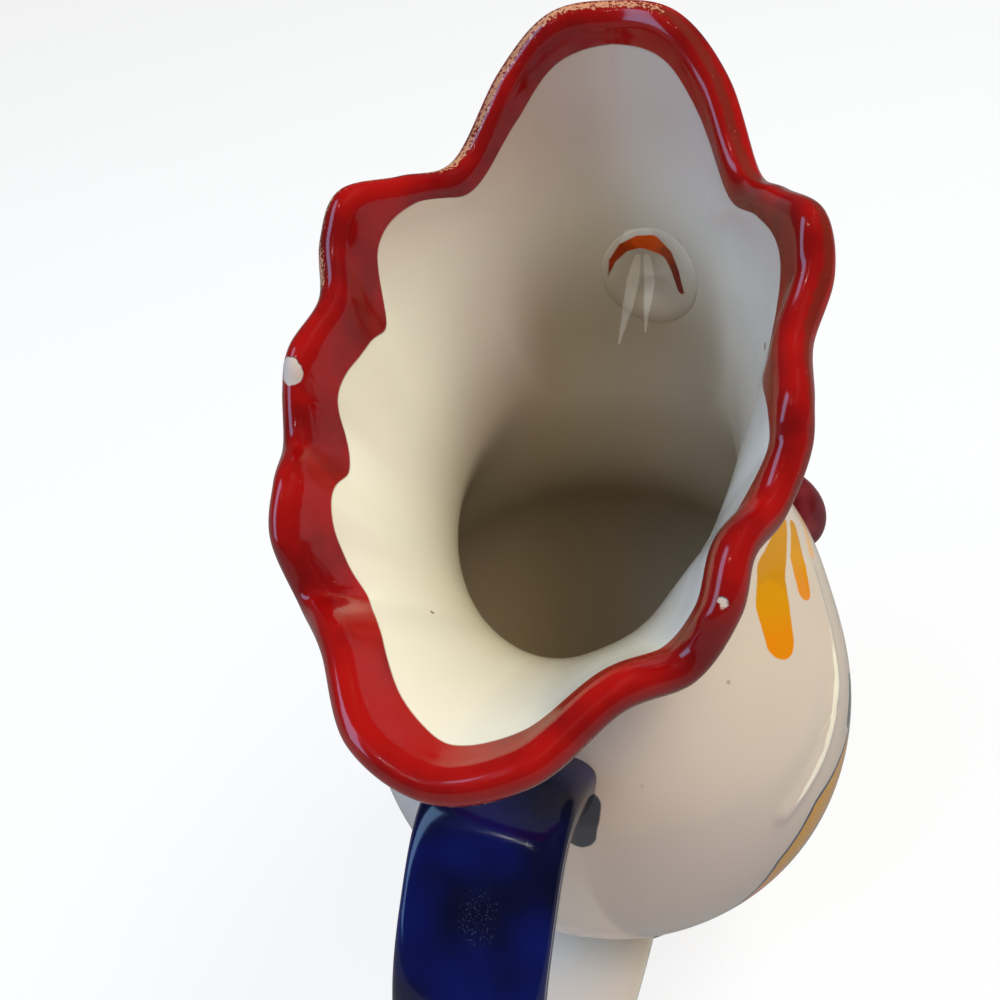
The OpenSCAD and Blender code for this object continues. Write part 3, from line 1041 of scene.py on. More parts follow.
@dataclass
class Mouth:
    """Neck and comb: shoulder, throat, folded funnel and rolled lip. Sizes in millimetres."""

    pot: Pot
    throat_w: float = 70.0
    throat_l: float = 94.0
    throat_forward: float = 9.0
    throat_h: float = 122.0
    throat_rise: float = 24.0
    mouth_w: float = 93.0
    mouth_l: float = 130.0
    mouth_forward: float = 47.0
    mouth_side: float = 3.0
    front_lip_h: float = 222.0
    back_lip_h: float = 146.0
    lip_d: float = 7.5
    comb_h: float = 10.0
    seam_pull: float = 1.1
    throat_pull: float = 0.9
    lip_pull: float = 0.75
    lip_turn: float = 0.8
    ruffle_fade: float = 1.3
    bulb_angle: float = 100.0
    lip_in: float = 0.3
    worn_from: tuple[float, float] = (-12.0, 63.0)
    worn_power: int = 10
    column_steps: int = 14
    shoulder_rings: int = 40
    funnel_rings: int = 52
    comb_rings: int = 9
    bulb_steps: int = 24
    turn: np.ndarray = field(init=False)
    rim: np.ndarray = field(init=False)

    def __post_init__(self) -> None:
        """Lay out the columns once round the mouth."""
        half = (len(RIM) - 1) * self.column_steps
        right = mirror_spline(RIM, np.arange(half + 1) / self.column_steps)
        left = right[1:-1][::-1] * [-1, 1, 1, 1]
        rows = np.vstack([right, left])
        self.turn = np.concatenate([180 * right[:, 3], 360 - 180 * left[:, 3]])
        self.rim = np.stack(
            [
                rows[:, 0] * self.mouth_w / 2 + self.mouth_side,
                rows[:, 1] * self.mouth_l - self.mouth_forward,
                self.back_lip_h + rows[:, 2] * (self.front_lip_h - self.back_lip_h),
            ],
            axis=1,
        )

    def oval(self, half_w: float, half_l: float, y: float) -> np.ndarray:
        """List the points of an oval in the directions of the folds."""
        a = np.radians(self.turn)
        return np.stack([half_w * np.sin(a), y - half_l * np.cos(a), np.zeros(len(a))], axis=1)

    def seam(self, inset: float) -> np.ndarray:
        """List the points where the columns leave the belly."""
        rise = self.pot.seam_h - self.pot.belly_h
        radius = math.sqrt((self.pot.belly_r - inset) ** 2 - rise**2)
        return self.oval(radius, radius, 0) + [0, 0, self.pot.seam_h]

    def throat(self, inset: float) -> np.ndarray:
        """List the points where the columns pass the throat."""
        flat = self.oval(self.throat_w / 2 - inset, self.throat_l / 2 - inset, -self.throat_forward)
        rise = self.throat_rise * (1 + np.cos(np.radians(self.turn))) / 2
        flat[:, 0] += self.mouth_side / 2
        flat[:, 2] = self.throat_h + rise
        return flat

    def lip_run(self) -> np.ndarray:
        """Give the way that the wall runs as it reaches the lip."""
        way = self.rim - self.throat(self.pot.wall / 2)
        return unit(way * [1, 1, self.lip_turn])

    def lip_out(self) -> np.ndarray:
        """Give the way out of the wall's outer face at the lip."""
        along = np.roll(self.rim, -1, axis=0) - np.roll(self.rim, 1, axis=0)
        return unit(self.calmed(unit(np.cross(along, self.lip_run())), 0.4))

    def lip_middle(self) -> np.ndarray:
        """Give the middle of the rolled lip, whose outer edge follows the rim."""
        return self.rim - unit(self.lip_run() + self.lip_out()) * self.lip_d / 2

    def inset_of(self, side: int) -> float:
        """Give how deep a face lies: side is 1 outside and -1 inside."""
        return self.pot.wall * (1 - side) / 2

    def shoulder_at(self, side: int, t: float) -> np.ndarray:
        """Give the wall's points at a share of the way from seam to throat."""
        low, high = self.seam(self.inset_of(side)), self.throat(self.inset_of(side))
        rise = (high[:, 2] - self.pot.seam_h)[:, None]
        slope = (self.pot.seam_h - self.pot.belly_h) / (low[:, :2] ** 2).sum(axis=1)
        run = np.stack([-low[:, 0] * slope, -low[:, 1] * slope, np.ones(len(low))], axis=1)
        up = np.array([0, 0, 1]) * rise * self.throat_pull
        return hermite(low, run * rise * self.seam_pull, high, up, t)

    def calmed(self, points: np.ndarray, width: float) -> np.ndarray:
        """Smooth a closed row of points over a width in rows of the rim."""
        reach = np.arange(-3 * self.column_steps, 3 * self.column_steps + 1)
        weight = np.exp(-((reach / self.column_steps / width) ** 2) / 2)
        shares = weight / weight.sum()
        return np.sum([np.roll(points, k, axis=0) * w for k, w in zip(reach, shares)], axis=0)

    def funnel_at(self, side: int, t: np.ndarray) -> np.ndarray:
        """Give the wall's points at shares of the way from throat to lip, one for each column."""
        low = self.throat(self.inset_of(side))
        high = self.lip_middle() + self.lip_out() * side * self.pot.wall / 2
        calm = self.calmed(high, 1.0)
        high = calm + (high - calm) * (t[:, None] ** self.ruffle_fade)
        size = np.linalg.norm(high - low, axis=1, keepdims=True)
        up = np.array([0, 0, 1]) * (low[:, 2:] - self.pot.seam_h) * self.throat_pull
        return hermite(low, up, high, self.lip_run() * size * self.lip_pull, t[:, None])

    def wall_length(self) -> np.ndarray:
        """Give each column's straight length from throat to lip."""
        return np.linalg.norm(self.lip_middle() - self.throat(self.pot.wall / 2), axis=1)

    def comb_edge(self) -> np.ndarray:
        """Give the comb's lower edge as a share of the way from throat to lip."""
        return 1 - self.comb_h / self.wall_length()

    def band_depth(self, side: int) -> np.ndarray:
        """Give how deep the red band reaches at each column."""
        half = (len(RIM) - 1) * self.column_steps
        places = np.linspace(0, 1, half + 1)
        left = spline([[v] for v in BAND_LEFT], places)[:, 0]
        right = spline([[v] for v in BAND_RIGHT], places)[:, 0][1:-1][::-1]
        inside = np.concatenate([left, right])
        return inside if side < 0 else np.full(len(inside), BAND_OUTSIDE)

    def pieces(self) -> tuple[bpy.types.Object, bpy.types.Object]:
        """Build the neck and the comb.

        Returns:
            The two pieces.
        """
        edge, size = self.comb_edge(), self.wall_length()
        rings: dict[int, list[np.ndarray]] = {}
        reds: dict[int, list[np.ndarray]] = {}
        for side in (1, -1):
            steps = np.linspace(0, 1, self.shoulder_rings, endpoint=False)
            rings[side] = [self.shoulder_at(side, t) for t in steps]
            reds[side] = [np.full(len(edge), FAR_FROM_BAND)] * len(rings[side])
            for t in np.linspace(0, 1, self.funnel_rings + 1):
                rings[side].append(self.funnel_at(side, edge * t))
                reds[side].append(self.band_depth(side) - size * (1 - edge * t))
        wall = np.stack(rings[1] + rings[-1][::-1], axis=1)
        red = np.stack(reds[1] + reds[-1][::-1], axis=1)
        columns, count = wall.shape[:2]
        faces = grid_faces(columns, count, True)
        neck = mesh_object("glazed_neck", by_hand(wall.reshape(-1, 3)), faces)
        half = len(rings[1])
        outside = np.tile((np.arange(count) < half).astype(float), columns)
        raise_wing(neck, outside)
        mark_pot(neck, outside, red.ravel())
        return neck, self.comb(edge, size)

    def comb(self, edge: np.ndarray, size: np.ndarray) -> bpy.types.Object:
        """Build the comb: the rolled lip and the band of wall below it.

        Args:
            edge: The comb's lower edge in each column, as a share from throat to lip.
            size: Each column's length from throat to lip.

        Returns:
            The closed ring of the comb.
        """
        middle, run, out = self.lip_middle(), self.lip_run(), self.lip_out()
        turn = math.radians(self.bulb_angle)
        last = 1 + self.lip_d / 2 * math.cos(turn) / size
        half_out, half_in = self.lip_d / 2, self.pot.wall / 2 + self.lip_in
        swell = half_out * math.sin(turn) - self.pot.wall / 2
        swell_in = half_in * math.sin(turn) - self.pot.wall / 2
        front, back = self.worn_from
        worn_at = np.radians(front + (back - front) * (1 - np.cos(np.radians(self.turn))) / 2)
        shares = np.linspace(0, 1, self.comb_rings, endpoint=False)
        points: list[np.ndarray] = []
        reds: list[np.ndarray] = []
        crests: list[np.ndarray] = []
        for share in shares:
            t = edge + (last - edge) * share
            points.append(self.funnel_at(1, t) + out * swell * share**2 * (3 - 2 * share))
            reds.append(self.band_depth(1) - size * (1 - t))
            crests.append(np.zeros(len(edge)))
        for a in np.radians(np.linspace(self.bulb_angle, -self.bulb_angle, self.bulb_steps + 1)):
            half = half_out if a > 0 else half_in
            points.append(middle + run * math.cos(a) * half_out + out * math.sin(a) * half)
            reds.append(np.full(len(edge), self.lip_d / 2 + 0.25))
            crests.append(np.maximum(0, np.cos(a - worn_at)) ** self.worn_power)
        for share in shares[::-1]:
            t = edge + (last - edge) * share
            points.append(self.funnel_at(-1, t) - out * swell_in * share**2 * (3 - 2 * share))
            reds.append(self.band_depth(-1) - size * (1 - t))
            crests.append(np.zeros(len(edge)))
        ring = np.stack(points, axis=1)
        columns, count = ring.shape[:2]
        faces = grid_faces(columns, count, True)
        piece = mesh_object("ruffled_comb", by_hand(ring.reshape(-1, 3)), faces)
        outside = np.tile((np.arange(count) < count // 2).astype(float), columns)
        mark_pot(piece, outside, np.stack(reds, axis=1).ravel(), np.stack(crests, axis=1).ravel())
        return piece

    def core(self, inset: float) -> bpy.types.Object:
        """Build the whole pot's outer form as one closed tool.

        Args:
            inset: How far the tool's face lies inside the pot's, in millimetres.

        Returns:
            The tool, which trims what is stuck to the pot.
        """
        a = np.radians(self.turn)
        compass = np.stack([np.sin(a), -np.cos(a)], axis=1)
        rings = []
        for radius, height in np.vstack([self.pot.side(inset), self.pot.ball(inset, 24)]):
            rings.append(np.column_stack([compass * radius, np.full(len(a), height)]))
        for t in np.linspace(0.05, 1, 12):
            wall = self.shoulder_at(1, t)
            rings.append(wall + (self.shoulder_at(-1, t) - wall) * inset / self.pot.wall)
        for t in np.linspace(0.1, 1, 12):
            wall = self.funnel_at(1, self.comb_edge() * t)
            deep = self.funnel_at(-1, self.comb_edge() * t)
            rings.append(wall + (deep - wall) * inset / self.pot.wall)
        grid = np.stack(rings, axis=1)[::4]
        columns, count = grid.shape[:2]
        ends = [[0, 0, self.pot.edge_r], grid[:, -1].mean(axis=0)]
        points = np.vstack([grid.reshape(-1, 3), ends])
        faces: list[Sequence[int]] = list(grid_faces(columns, count, False))
        for i in range(columns):
            k = (i + 1) % columns
            faces.append((k * count, i * count, columns * count))
            faces.append((i * count + count - 1, k * count + count - 1, columns * count + 1))
        return mesh_object("core", by_hand(points), faces)


@dataclass
class Beak:
    """Hollow beak on the front of the neck. Sizes in millimetres."""

    mouth: Mouth
    root_d: float = 29.0
    length: float = 26.9
    height: float = 163.0
    side: float = 3.0
    droop: float = 20.0
    wall: float = 4.5
    sunk: float = 7.0
    blunt: float = 0.35
    hollow: float = 4.0
    hollow_rings: int = 33
    lead_in: float = 1.5
    root_depth: float = 2.5
    clear: float = 0.04
    probe: float = 25.0
    bore: tuple[float, float] = (-12.0, 16.0)
    columns: int = 96

    def frame(self) -> tuple[np.ndarray, np.ndarray, np.ndarray]:
        """Give the middle of the root, the way out of it and the way up across it."""
        y = self.sunk - self.mouth.throat_forward - self.mouth.throat_l / 2
        a = math.radians(90 + self.droop)
        way = np.array([0, -math.sin(a), math.cos(a)])
        return np.array([-self.side, y, self.height]), way, np.array([0, math.cos(a), math.sin(a)])

    def outline(self, inset: float) -> np.ndarray:
        """List how far out and how wide the beak is, from root to tip."""
        a = np.radians(np.linspace(0, 90, 25))
        radius, length = self.root_d / 2 - inset, self.length + self.sunk - inset
        out = length * (self.blunt * np.sin(a) + (1 - self.blunt) * np.sin(a) ** 2)
        return np.stack([out, radius * np.cos(a)], axis=1)

    def ring(self, out: np.ndarray | float, radius: float) -> np.ndarray:
        """List a ring of points about the beak's own axis."""
        root, way, up = self.frame()
        a = np.linspace(0, 2 * math.pi, self.columns, endpoint=False)
        side = np.cross(up, way)
        flat = radius * (np.cos(a)[:, None] * side + np.sin(a)[:, None] * up)
        return root + flat + np.reshape(out, (-1, 1)) * way

    def wall_depth(self, neck: bpy.types.Object, radius: float) -> np.ndarray:
        """Find how far out the neck's inner face lies at a ring round the axis."""
        way = self.frame()[1]
        depths = []
        for place in self.ring(-self.probe, radius):
            hit, where, _, _ = neck.ray_cast(Vector(place * MM), Vector(way))
            depths.append((np.array(where) / MM - place) @ way - self.probe if hit else 0.0)
        return np.array(depths)

    def build(self, neck: bpy.types.Object) -> bpy.types.Object:
        """Build the beak and open the neck's wall behind it.

        Args:
            neck: The neck, which loses the disc behind the beak.

        Returns:
            The beak, with a smooth hollow in the neck's inner face.
        """
        wide = self.root_d / 2 - self.wall + self.lead_in
        depth = self.wall_depth(neck, wide) - self.clear
        root = depth + self.root_depth
        rings = [self.ring(root, self.root_d / 2)]
        rings += [self.ring(np.maximum(out, root), radius) for out, radius in self.outline(0)[1:-1]]
        middle = self.outline(0)[-1, 0]
        tip = self.ring(middle, 0.0)[:1]
        inner_tip = self.ring(depth.mean() + self.hollow, 0.0)[:1]
        lead = []
        for share in np.linspace(0, 1, self.hollow_rings + 1)[1:]:
            floor = depth.mean() + (depth - depth.mean()) * share
            lead.append(self.ring(floor + self.hollow * (1 - share**2) ** 2, wide * share))
        points = np.vstack([*rings, tip, inner_tip, *lead])
        faces: list[Sequence[int]] = []
        n = self.columns

        def skin(first: int, second: int) -> None:
            """Join two rings."""
            for i in range(n):
                k = (i + 1) % n
                faces.append((first + i, first + k, second + k, second + i))

        for i in range(len(rings) - 1):
            skin(i * n, (i + 1) * n)
        last = (len(rings) - 1) * n
        tip_at = len(rings) * n
        faces.extend((last + i, last + (i + 1) % n, tip_at) for i in range(n))
        start = tip_at + 2
        faces.extend((start + (i + 1) % n, start + i, tip_at + 1) for i in range(n))
        for i in range(len(lead) - 1):
            skin(start + i * n, start + (i + 1) * n)
        skin(start + (len(lead) - 1) * n, 0)
        piece = mesh_object("hollow_beak", points, faces)
        tidy_normals(piece)
        add_mark(piece, Mark.OUTSIDE, np.arange(len(points)) <= tip_at)
        self.open_neck(neck, wide)
        return piece

    def open_neck(self, neck: bpy.types.Object, radius: float) -> None:
        """Cut the way into the beak through the neck's wall."""
        n = self.columns
        faces: list[Sequence[int]] = [(i, (i + 1) % n, n + (i + 1) % n, n + i) for i in range(n)]
        faces += [tuple(range(n))[::-1], tuple(range(n, 2 * n))]
        tool = mesh_object("bore", np.vstack([self.ring(end, radius) for end in self.bore]), faces)
        tidy_normals(tool)
        cut_away(neck, tool)


def tidy_normals(piece: bpy.types.Object) -> None:
    """Turn every face of a closed piece outwards."""
    work = bmesh.new()
    work.from_mesh(piece.data)
    bmesh.ops.recalc_face_normals(work, faces=work.faces)
    work.to_mesh(piece.data)
    work.free()


@dataclass
class Wattles:
    """The two wattles in relief on the shoulder. Sizes in millimetres."""

    mouth: Mouth
    length: float = 24.0
    width: float = 15.0
    thickness: float = 6.0
    taper: float = 0.22
    proud: float = 6.0 / 3.5
    share: float = 0.4
    row: int = 3
    lean: float = 35.0
    turn: float = 32.0
    columns: int = 64
    rings: int = 40

    def build(self, name: str, side: int) -> bpy.types.Object:
        """Build one wattle.

        Args:
            name: Name of the piece.
            side: 1 for the hen's left, -1 for its right.

        Returns:
            A drop-shaped lobe that grows out of the shoulder.
        """
        columns, rings = self.columns, self.rings
        column = self.row * self.mouth.column_steps * side
        middle = self.mouth.shoulder_at(1, self.share)[column] + [side * self.proud, -self.proud, 0]
        half = (self.thickness / 2, self.width / 2, self.length / 2)
        points, crests = [], []
        for j in range(1, rings):
            up = -math.cos(math.pi * j / rings)
            wide = math.sin(math.pi * j / rings) * (1 - self.taper * up)
            for i in range(columns):
                a = 2 * math.pi * i / columns
                points.append((wide * math.cos(a) * half[0], wide * math.sin(a) * half[1], up * half[2]))
                crests.append(max(0.0, side * math.cos(a)) * wide)
        points += [(0, 0, -half[2]), (0, 0, half[2])]
        crests += [0.0, 0.0]
        faces: list[Sequence[int]] = []
        for j in range(rings - 2):
            for i in range(columns):
                k = (i + 1) % columns
                here, there = j * columns, (j + 1) * columns
                faces.append((here + i, here + k, there + k, there + i))
        low, high = len(points) - 2, len(points) - 1
        top = (rings - 2) * columns
        for i in range(columns):
            k = (i + 1) % columns
            faces += [(k, i, low), (top + i, top + k, high)]
        lean = Matrix.Rotation(math.radians(-side * self.lean), 3, "Y")
        spin = lean @ Matrix.Rotation(math.radians(side * self.turn), 3, "Z")
        piece = mesh_object(name, np.array(points) @ np.array(spin).T + middle, faces)
        tidy_normals(piece)
        add_mark(piece, Mark.CREST, np.array(crests))
        return piece


# The strap's middle line, as shares of its reach behind the axis and of its height
STRAP = (
    (0.32, 0.72),
    (0.48, 0.86),
    (0.65, 0.935),
    (0.80, 0.84),
    (0.90, 0.71),
    (0.95, 0.53),
    (0.94, 0.37),
    (0.84, 0.22),
    (0.69, 0.13),
    (0.50, 0.05),
    (0.30, 0),
)


@dataclass
class Handle:
    """Strap handle, swept along its middle line by a geometry tree. Sizes in millimetres."""

    mouth: Mouth
    width: float = 29.0
    thickness: float = 10.0
    root_width: float = 42.0
    top_width: float = 28.0
    top_thickness: float = 20.0
    top_reach: float = 0.15
    dent_depth: float = 3.4
    reach: float = 99.9
    top_h: float = 122.0
    low_h: float = 9.0
    dent_place: float = 0.29
    dent_spread: float = 0.066
    fan_start: float = 0.45
    square: float = 0.68
    flat: float = 0.75
    trim: float = 1.5

    def path(self) -> bpy.types.Object:
        """Draw the strap's middle line as a curve."""
        shares = spline(STRAP, np.linspace(0, 1, 121))
        curve = bpy.data.curves.new("strap_path", "CURVE")
        curve.dimensions = "3D"
        line = curve.splines.new("POLY")
        line.points.add(len(shares) - 1)
        for point, (out, up) in zip(line.points, shares):
            height = self.low_h + up * (self.top_h - self.low_h)
            point.co = (self.mouth.mouth_side * MM, out * self.reach * MM, height * MM, 1)
        return linked("strap_path", curve)

    def sizes(self) -> dict[str, float]:
        """Give the tree's named inputs, lengths in metres."""
        return {
            "Width": self.width * MM,
            "Thickness": self.thickness * MM,
            "Root Width": self.root_width * MM,
            "Top Width": self.top_width * MM,
            "Top Thickness": self.top_thickness * MM,
            "Top Reach": self.top_reach,
            "Dent Depth": self.dent_depth * MM,
            "Dent Place": self.dent_place,
            "Dent Spread": self.dent_spread,
            "Fan Start": self.fan_start,
            "Squareness": self.square,
            "Flatness": self.flat,
        }

    def tree(self) -> bpy.types.NodeTree:
        """Build the geometry tree that sweeps the strap.

        Returns:
            A tree from the path to the strap, with the sizes and the material as inputs.
        """
        group = bpy.data.node_groups.new("strap_sweep", "GeometryNodeTree")
        face = group.interface
        face.new_socket("Path", in_out="INPUT", socket_type="NodeSocketGeometry")
        for name in self.sizes():
            face.new_socket(name, in_out="INPUT", socket_type="NodeSocketFloat")
        face.new_socket("Glaze", in_out="INPUT", socket_type="NodeSocketMaterial")
        face.new_socket("Strap", in_out="OUTPUT", socket_type="NodeSocketGeometry")
        tree = Tree(group)
        given = tree.node("NodeGroupInput")
        size = {name: Wire(tree, given.outputs[name]) for name in self.sizes()}
        line, glaze = (Wire(tree, given.outputs[name]) for name in ("Path", "Glaze"))
        line = tree.wire("GeometryNodeResampleCurve", None, {"Curve": line, "Count": 200})
        level = {"Curve": line, "Normal": (1.0, 0.0, 0.0)}
        line = tree.wire("GeometryNodeSetCurveNormal", {"mode": "FREE"}, level)
        along = tree.wire("GeometryNodeSplineParameter", None, None, "Factor")
        line = self.keep(tree, line, Mark.ALONG.value, along, "FLOAT")
        middle = tree.wire("GeometryNodeInputPosition")
        line = self.keep(tree, line, "strap_middle", middle, "FLOAT_VECTOR")
        tangent = tree.wire("GeometryNodeInputTangent")
        out = tree.vector("CROSS_PRODUCT", (1.0, 0.0, 0.0), tangent)
        line = self.keep(tree, line, "strap_out", out, "FLOAT_VECTOR")
        sweep = {"Curve": line, "Profile Curve": self.section(tree, size), "Fill Caps": True}
        strap = tree.wire("GeometryNodeCurveToMesh", None, sweep)
        moved = {"Geometry": strap, "Position": self.shaped(tree, size)}
        strap = tree.wire("GeometryNodeSetPosition", None, moved)
        strap = tree.wire("GeometryNodeSetShadeSmooth", None, {"Geometry": strap})
        strap = tree.wire("GeometryNodeRealizeInstances", None, {"Geometry": strap})
        strap = tree.wire("GeometryNodeSetMaterial", None, {"Geometry": strap, "Material": glaze})
        tree.node("NodeGroupOutput", None, {"Strap": strap})
        return group

    def keep(self, tree: Tree, shape: Wire, name: str, value: Wire, kind: str) -> Wire:
        """Store a named attribute on the points of a shape."""
        settings = {"data_type": kind, "domain": "POINT"}
        sockets = {"Geometry": shape, "Name": name, "Value": value}
        return tree.wire("GeometryNodeStoreNamedAttribute", settings, sockets)

    def read(self, tree: Tree, name: str, kind: str) -> Wire:
        """Read a named attribute."""
        return tree.wire("GeometryNodeInputNamedAttribute", {"data_type": kind}, {"Name": name})

    def section(self, tree: Tree, size: Mapping[str, Wire]) -> Wire:
        """Build the strap's section: a flattened round with full edges."""
        round_one = {"Resolution": 64, "Radius": 1.0}
        ring = tree.wire("GeometryNodeCurvePrimitiveCircle", {"mode": "RADIUS"}, round_one)
        x, y, _ = tree.parts(tree.wire("GeometryNodeInputPosition"))

        def swell(value: Wire, power: Wire) -> Wire:
            """Raise a number's size to a power and keep its sign."""
            full = tree.maths("POWER", tree.maths("ABSOLUTE", value), power)
            return tree.maths("SIGN", value) * full

        across, out = swell(x, size["Squareness"]), swell(y, size["Flatness"])
        ring = self.keep(tree, ring, Mark.ACROSS.value, across, "FLOAT")
        ring = self.keep(tree, ring, Mark.FACE.value, y * -1.0, "FLOAT")
        place = tree.joined(across * size["Width"] / 2, out * size["Thickness"] / 2, 0.0)
        return tree.wire("GeometryNodeSetPosition", None, {"Geometry": ring, "Position": place})

    def shaped(self, tree: Tree, size: Mapping[str, Wire]) -> Wire:
        """Fan the strap out to the foot, flare its upper root and press in the thumb dent."""
        along = self.read(tree, Mark.ALONG.value, "FLOAT")
        face = self.read(tree, Mark.FACE.value, "FLOAT")
        out = self.read(tree, "strap_out", "FLOAT_VECTOR")
        middle = self.read(tree, "strap_middle", "FLOAT_VECTOR")
        off = tree.vector("SUBTRACT", tree.wire("GeometryNodeInputPosition"), middle)
        ramp = ((along - size["Fan Start"]) / (1 - size["Fan Start"])).highest(0.0)
        near = along / size["Top Reach"]
        top = tree.maths("EXPONENT", near * near * -1.0)
        fan = (size["Root Width"] / size["Width"] - 1) * tree.maths("SINE", ramp * (math.pi / 2)) + 1
        fan = fan + (size["Top Width"] / size["Width"] - 1) * top
        off = tree.vector("MULTIPLY", off, tree.joined(fan, 1.0, 1.0))
        inner = tree.maths("POWER", (face * -1.0).highest(0.0), size["Flatness"])
        swell = (size["Top Thickness"] - size["Thickness"]) * top * inner * -1.0
        gap = (along - size["Dent Place"]) / size["Dent Spread"]
        lift = face.highest(0.0)
        dent = tree.maths("EXPONENT", gap * gap * -1.0) * lift * lift * size["Dent Depth"] * -1.0
        return tree.vector("ADD", tree.vector("ADD", middle, off), tree.scaled(out, dent + swell))

    def build(self, glaze: bpy.types.Material) -> bpy.types.Object:
        """Sweep the strap and trim its ends inside the pot's wall."""
        path = self.path()
        sweep = path.modifiers.new("strap_sweep", "NODES")
        sweep.node_group = self.tree()
        names = {item.name: item.identifier for item in sweep.node_group.interface.items_tree}
        for name, value in self.sizes().items():
            sweep[names[name]] = value
        sweep[names["Glaze"]] = glaze
        graph = bpy.context.evaluated_depsgraph_get()
        mesh = bpy.data.meshes.new_from_object(path.evaluated_get(graph), depsgraph=graph)
        path.modifiers.clear()
        bpy.data.objects.remove(path)
        piece = linked("strap_handle", mesh)
        tidy_normals(piece)
        cut_away(piece, self.mouth.core(self.trim))
        return piece


# Stage, light and camera


@dataclass(frozen=True)
class View:
    """The camera of the photograph: where it stands, where it looks and how it leans."""

    place: Point = (-46.5, 153.1, 277.7)
    look: Point = (0.306, -0.693, -0.653)
    roll: float = 8.49
    lens: float = 36.0
    sensor: float = 36.0

    def build(self) -> bpy.types.Object:
        """Build the camera and make it the scene's own."""
        ahead = Vector(self.look).normalized()
        level = ahead.cross(Vector((0, 0, 1))).normalized()
        raised = level.cross(ahead)
        lean = math.radians(self.roll)
        right = level * math.cos(lean) - raised * math.sin(lean)
        up = level * math.sin(lean) + raised * math.cos(lean)
        data = bpy.data.cameras.new("photo_camera")
        data.sensor_fit = "HORIZONTAL"
        data.sensor_width = self.sensor
        data.lens = self.lens
        data.clip_start = 0.005
        made = linked("photo_camera", data)
        turn = Matrix((right, up, -ahead)).transposed().to_4x4()
        made.matrix_world = Matrix.Translation(Vector(self.place) * MM) @ turn
        bpy.context.scene.camera = made
        return made


@dataclass(frozen=True)
class Lamp:
    """A soft lamp that points at the pitcher."""

    name: str
    place: Point
    size: tuple[float, float]
    power: float
    colour: tuple[float, float, float]
    mirrored: bool = True
    lean: float = 0.0

    def build(self) -> None:
        """Build the lamp."""
        data = bpy.data.lights.new(self.name, "AREA")
        data.shape = "RECTANGLE"
        data.size, data.size_y = self.size
        data.energy = self.power
        data.color = self.colour
        made = linked(self.name, data)
        made.visible_glossy = self.mirrored
        aim = Vector((0, 0, 0.14)) - Vector(self.place)
        turn = aim.to_track_quat("-Z", "Y").to_matrix().to_4x4()
        lean = Matrix.Rotation(math.radians(self.lean), 4, "Z")
        made.matrix_world = Matrix.Translation(self.place) @ turn @ lean


SOFT = (0.5, 0.5)
SMALL = (0.016, 0.016)
BULB = (1.0, 0.96, 0.9)
WHITE = (1.0, 1.0, 1.0, 1.0)
FLOOR_GREY = (0.85, 0.85, 0.85, 1.0)


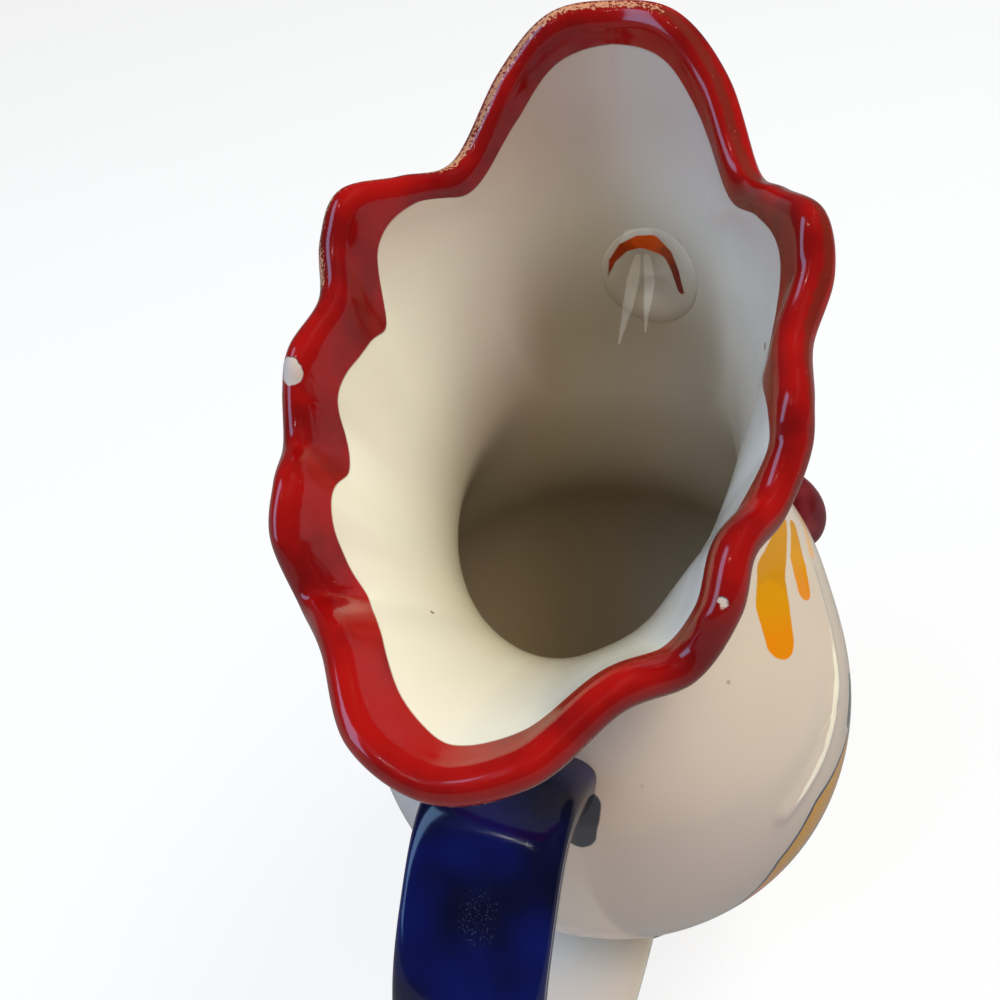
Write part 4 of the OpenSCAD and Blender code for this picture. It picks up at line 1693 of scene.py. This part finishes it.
@dataclass(frozen=True)
class Studio:
    """White surroundings, soft lamps and a pale floor that keeps the shadow."""

    world_level: float = 0.04
    sheen_level: float = 0.08
    floor_share: float = 0.85
    floor_sheen: float = 0.3
    floor_half: float = 3000.0
    lamps: tuple[Lamp, ...] = (
        Lamp("key", (-0.44, -0.44, 1.22), SOFT, 11.5, (0.84, 1.0, 0.88), False),
        Lamp("left_fill", (-0.63, 0.0, 1.22), SOFT, 4.8, (1.0, 0.80, 0.88), False),
        Lamp("warm_fill", (-0.44, 0.44, 1.22), SOFT, 4.0, (1.0, 0.85, 0.64), False),
        Lamp("cool_fill", (0.38, 0.49, 1.22), SOFT, 5.6, (0.52, 0.66, 1.0), False),
        Lamp("window", (0.64, 0.42, 0.59), (0.36, 0.9), 4.2, (0.34, 0.60, 1.0), lean=24.0),
        Lamp("first_bulb", (0.17, 0.74, 1.21), SMALL, 0.12, BULB),
        Lamp("second_bulb", (0.29, 0.72, 1.21), SMALL, 0.12, BULB),
    )

    def world(self) -> None:
        """Build the white world."""
        world = bpy.data.worlds.new("white_room")
        world.use_nodes = True
        world.node_tree.nodes.clear()
        tree = Tree(world.node_tree)
        level = tree.seen(self.sheen_level).highest(self.world_level)
        back = tree.wire("ShaderNodeBackground", None, {"Color": WHITE, "Strength": level})
        tree.node("ShaderNodeOutputWorld", None, {"Surface": back})
        bpy.context.scene.world = world

    def floor(self) -> None:
        """Build the floor."""
        corners = np.array([[-1, -1, 0], [1, -1, 0], [1, 1, 0], [-1, 1, 0]]) * self.floor_half
        piece = mesh_object("floor", corners, [(0, 1, 2, 3)])
        made, tree = new_material("pale_floor")
        matt = tree.wire("ShaderNodeBsdfDiffuse", None, {"Color": FLOOR_GREY})
        level = tree.seen(self.floor_sheen)
        white = tree.wire("ShaderNodeEmission", None, {"Color": WHITE, "Strength": level})
        path = tree.node("ShaderNodeLightPath")
        seen, mirrored = (Wire(tree, path.outputs[f"Is {name} Ray"]) for name in ("Camera", "Glossy"))
        share = (seen * self.floor_share).highest(mirrored)
        both = tree.wire("ShaderNodeMixShader", None, {0: share, 1: matt, 2: white})
        tree.node("ShaderNodeOutputMaterial", None, {"Surface": both})
        piece.data.materials.append(made)

    def build(self) -> None:
        """Build it all."""
        self.world()
        self.floor()
        for lamp in self.lamps:
            lamp.build()


@dataclass
class Pitcher:
    """The whole pitcher: builds each piece, dresses it and puts it in its node's place."""

    pot: Pot = field(default_factory=Pot)

    def place(
        self, piece: bpy.types.Object, node: str, slot: Slot, glaze: bpy.types.Material
    ) -> None:
        """Dress a piece and let it stand for its CAD node.

        Args:
            piece: The piece.
            node: Name of the node that it replaces.
            slot: The node's material slot; not used.
            glaze: The piece's finish.
        """
        crease(piece)
        piece.data.materials.clear()
        piece.data.materials.append(glaze)
        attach(piece, BODY)
        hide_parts(node)
        LOG.info("%s stands for %s, %d faces", piece.name, node, len(piece.data.polygons))

    def build(self) -> None:
        """Build every piece."""
        mouth = Mouth(self.pot)
        neck, comb = mouth.pieces()
        beak = Beak(mouth).build(neck)
        wattles = Wattles(mouth)
        pot_glaze = PotGlaze("painted_cream_glaze").material()
        strap_glaze = StrapGlaze("cobalt_strap_glaze").material()
        maroon = WattleGlaze("maroon_wattle_glaze").material()
        self.place(self.pot.foot(), "foot", Slot.CREAM, pot_glaze)
        self.place(self.pot.belly(), "belly", Slot.CREAM, pot_glaze)
        self.place(neck, "neck", Slot.CREAM, pot_glaze)
        self.place(comb, "comb", Slot.RED, pot_glaze)
        self.place(beak, "beak", Slot.YELLOW, BeakGlaze("beak_glaze").material())
        self.place(wattles.build("left_wattle", 1), "wattle_left", Slot.MAROON, maroon)
        self.place(wattles.build("right_wattle", -1), "wattle_right", Slot.MAROON, maroon)
        self.place(Handle(mouth).build(strap_glaze), "handle", Slot.COBALT, strap_glaze)


def main() -> None:
    """Build the camera, the studio and the pitcher."""
    logging.basicConfig(level=logging.INFO, format="%(message)s")
    bpy.context.scene.view_settings.view_transform = "Standard"
    View().build()
    Studio().build()
    Pitcher().build()


if __name__ == "__main__":
    main()
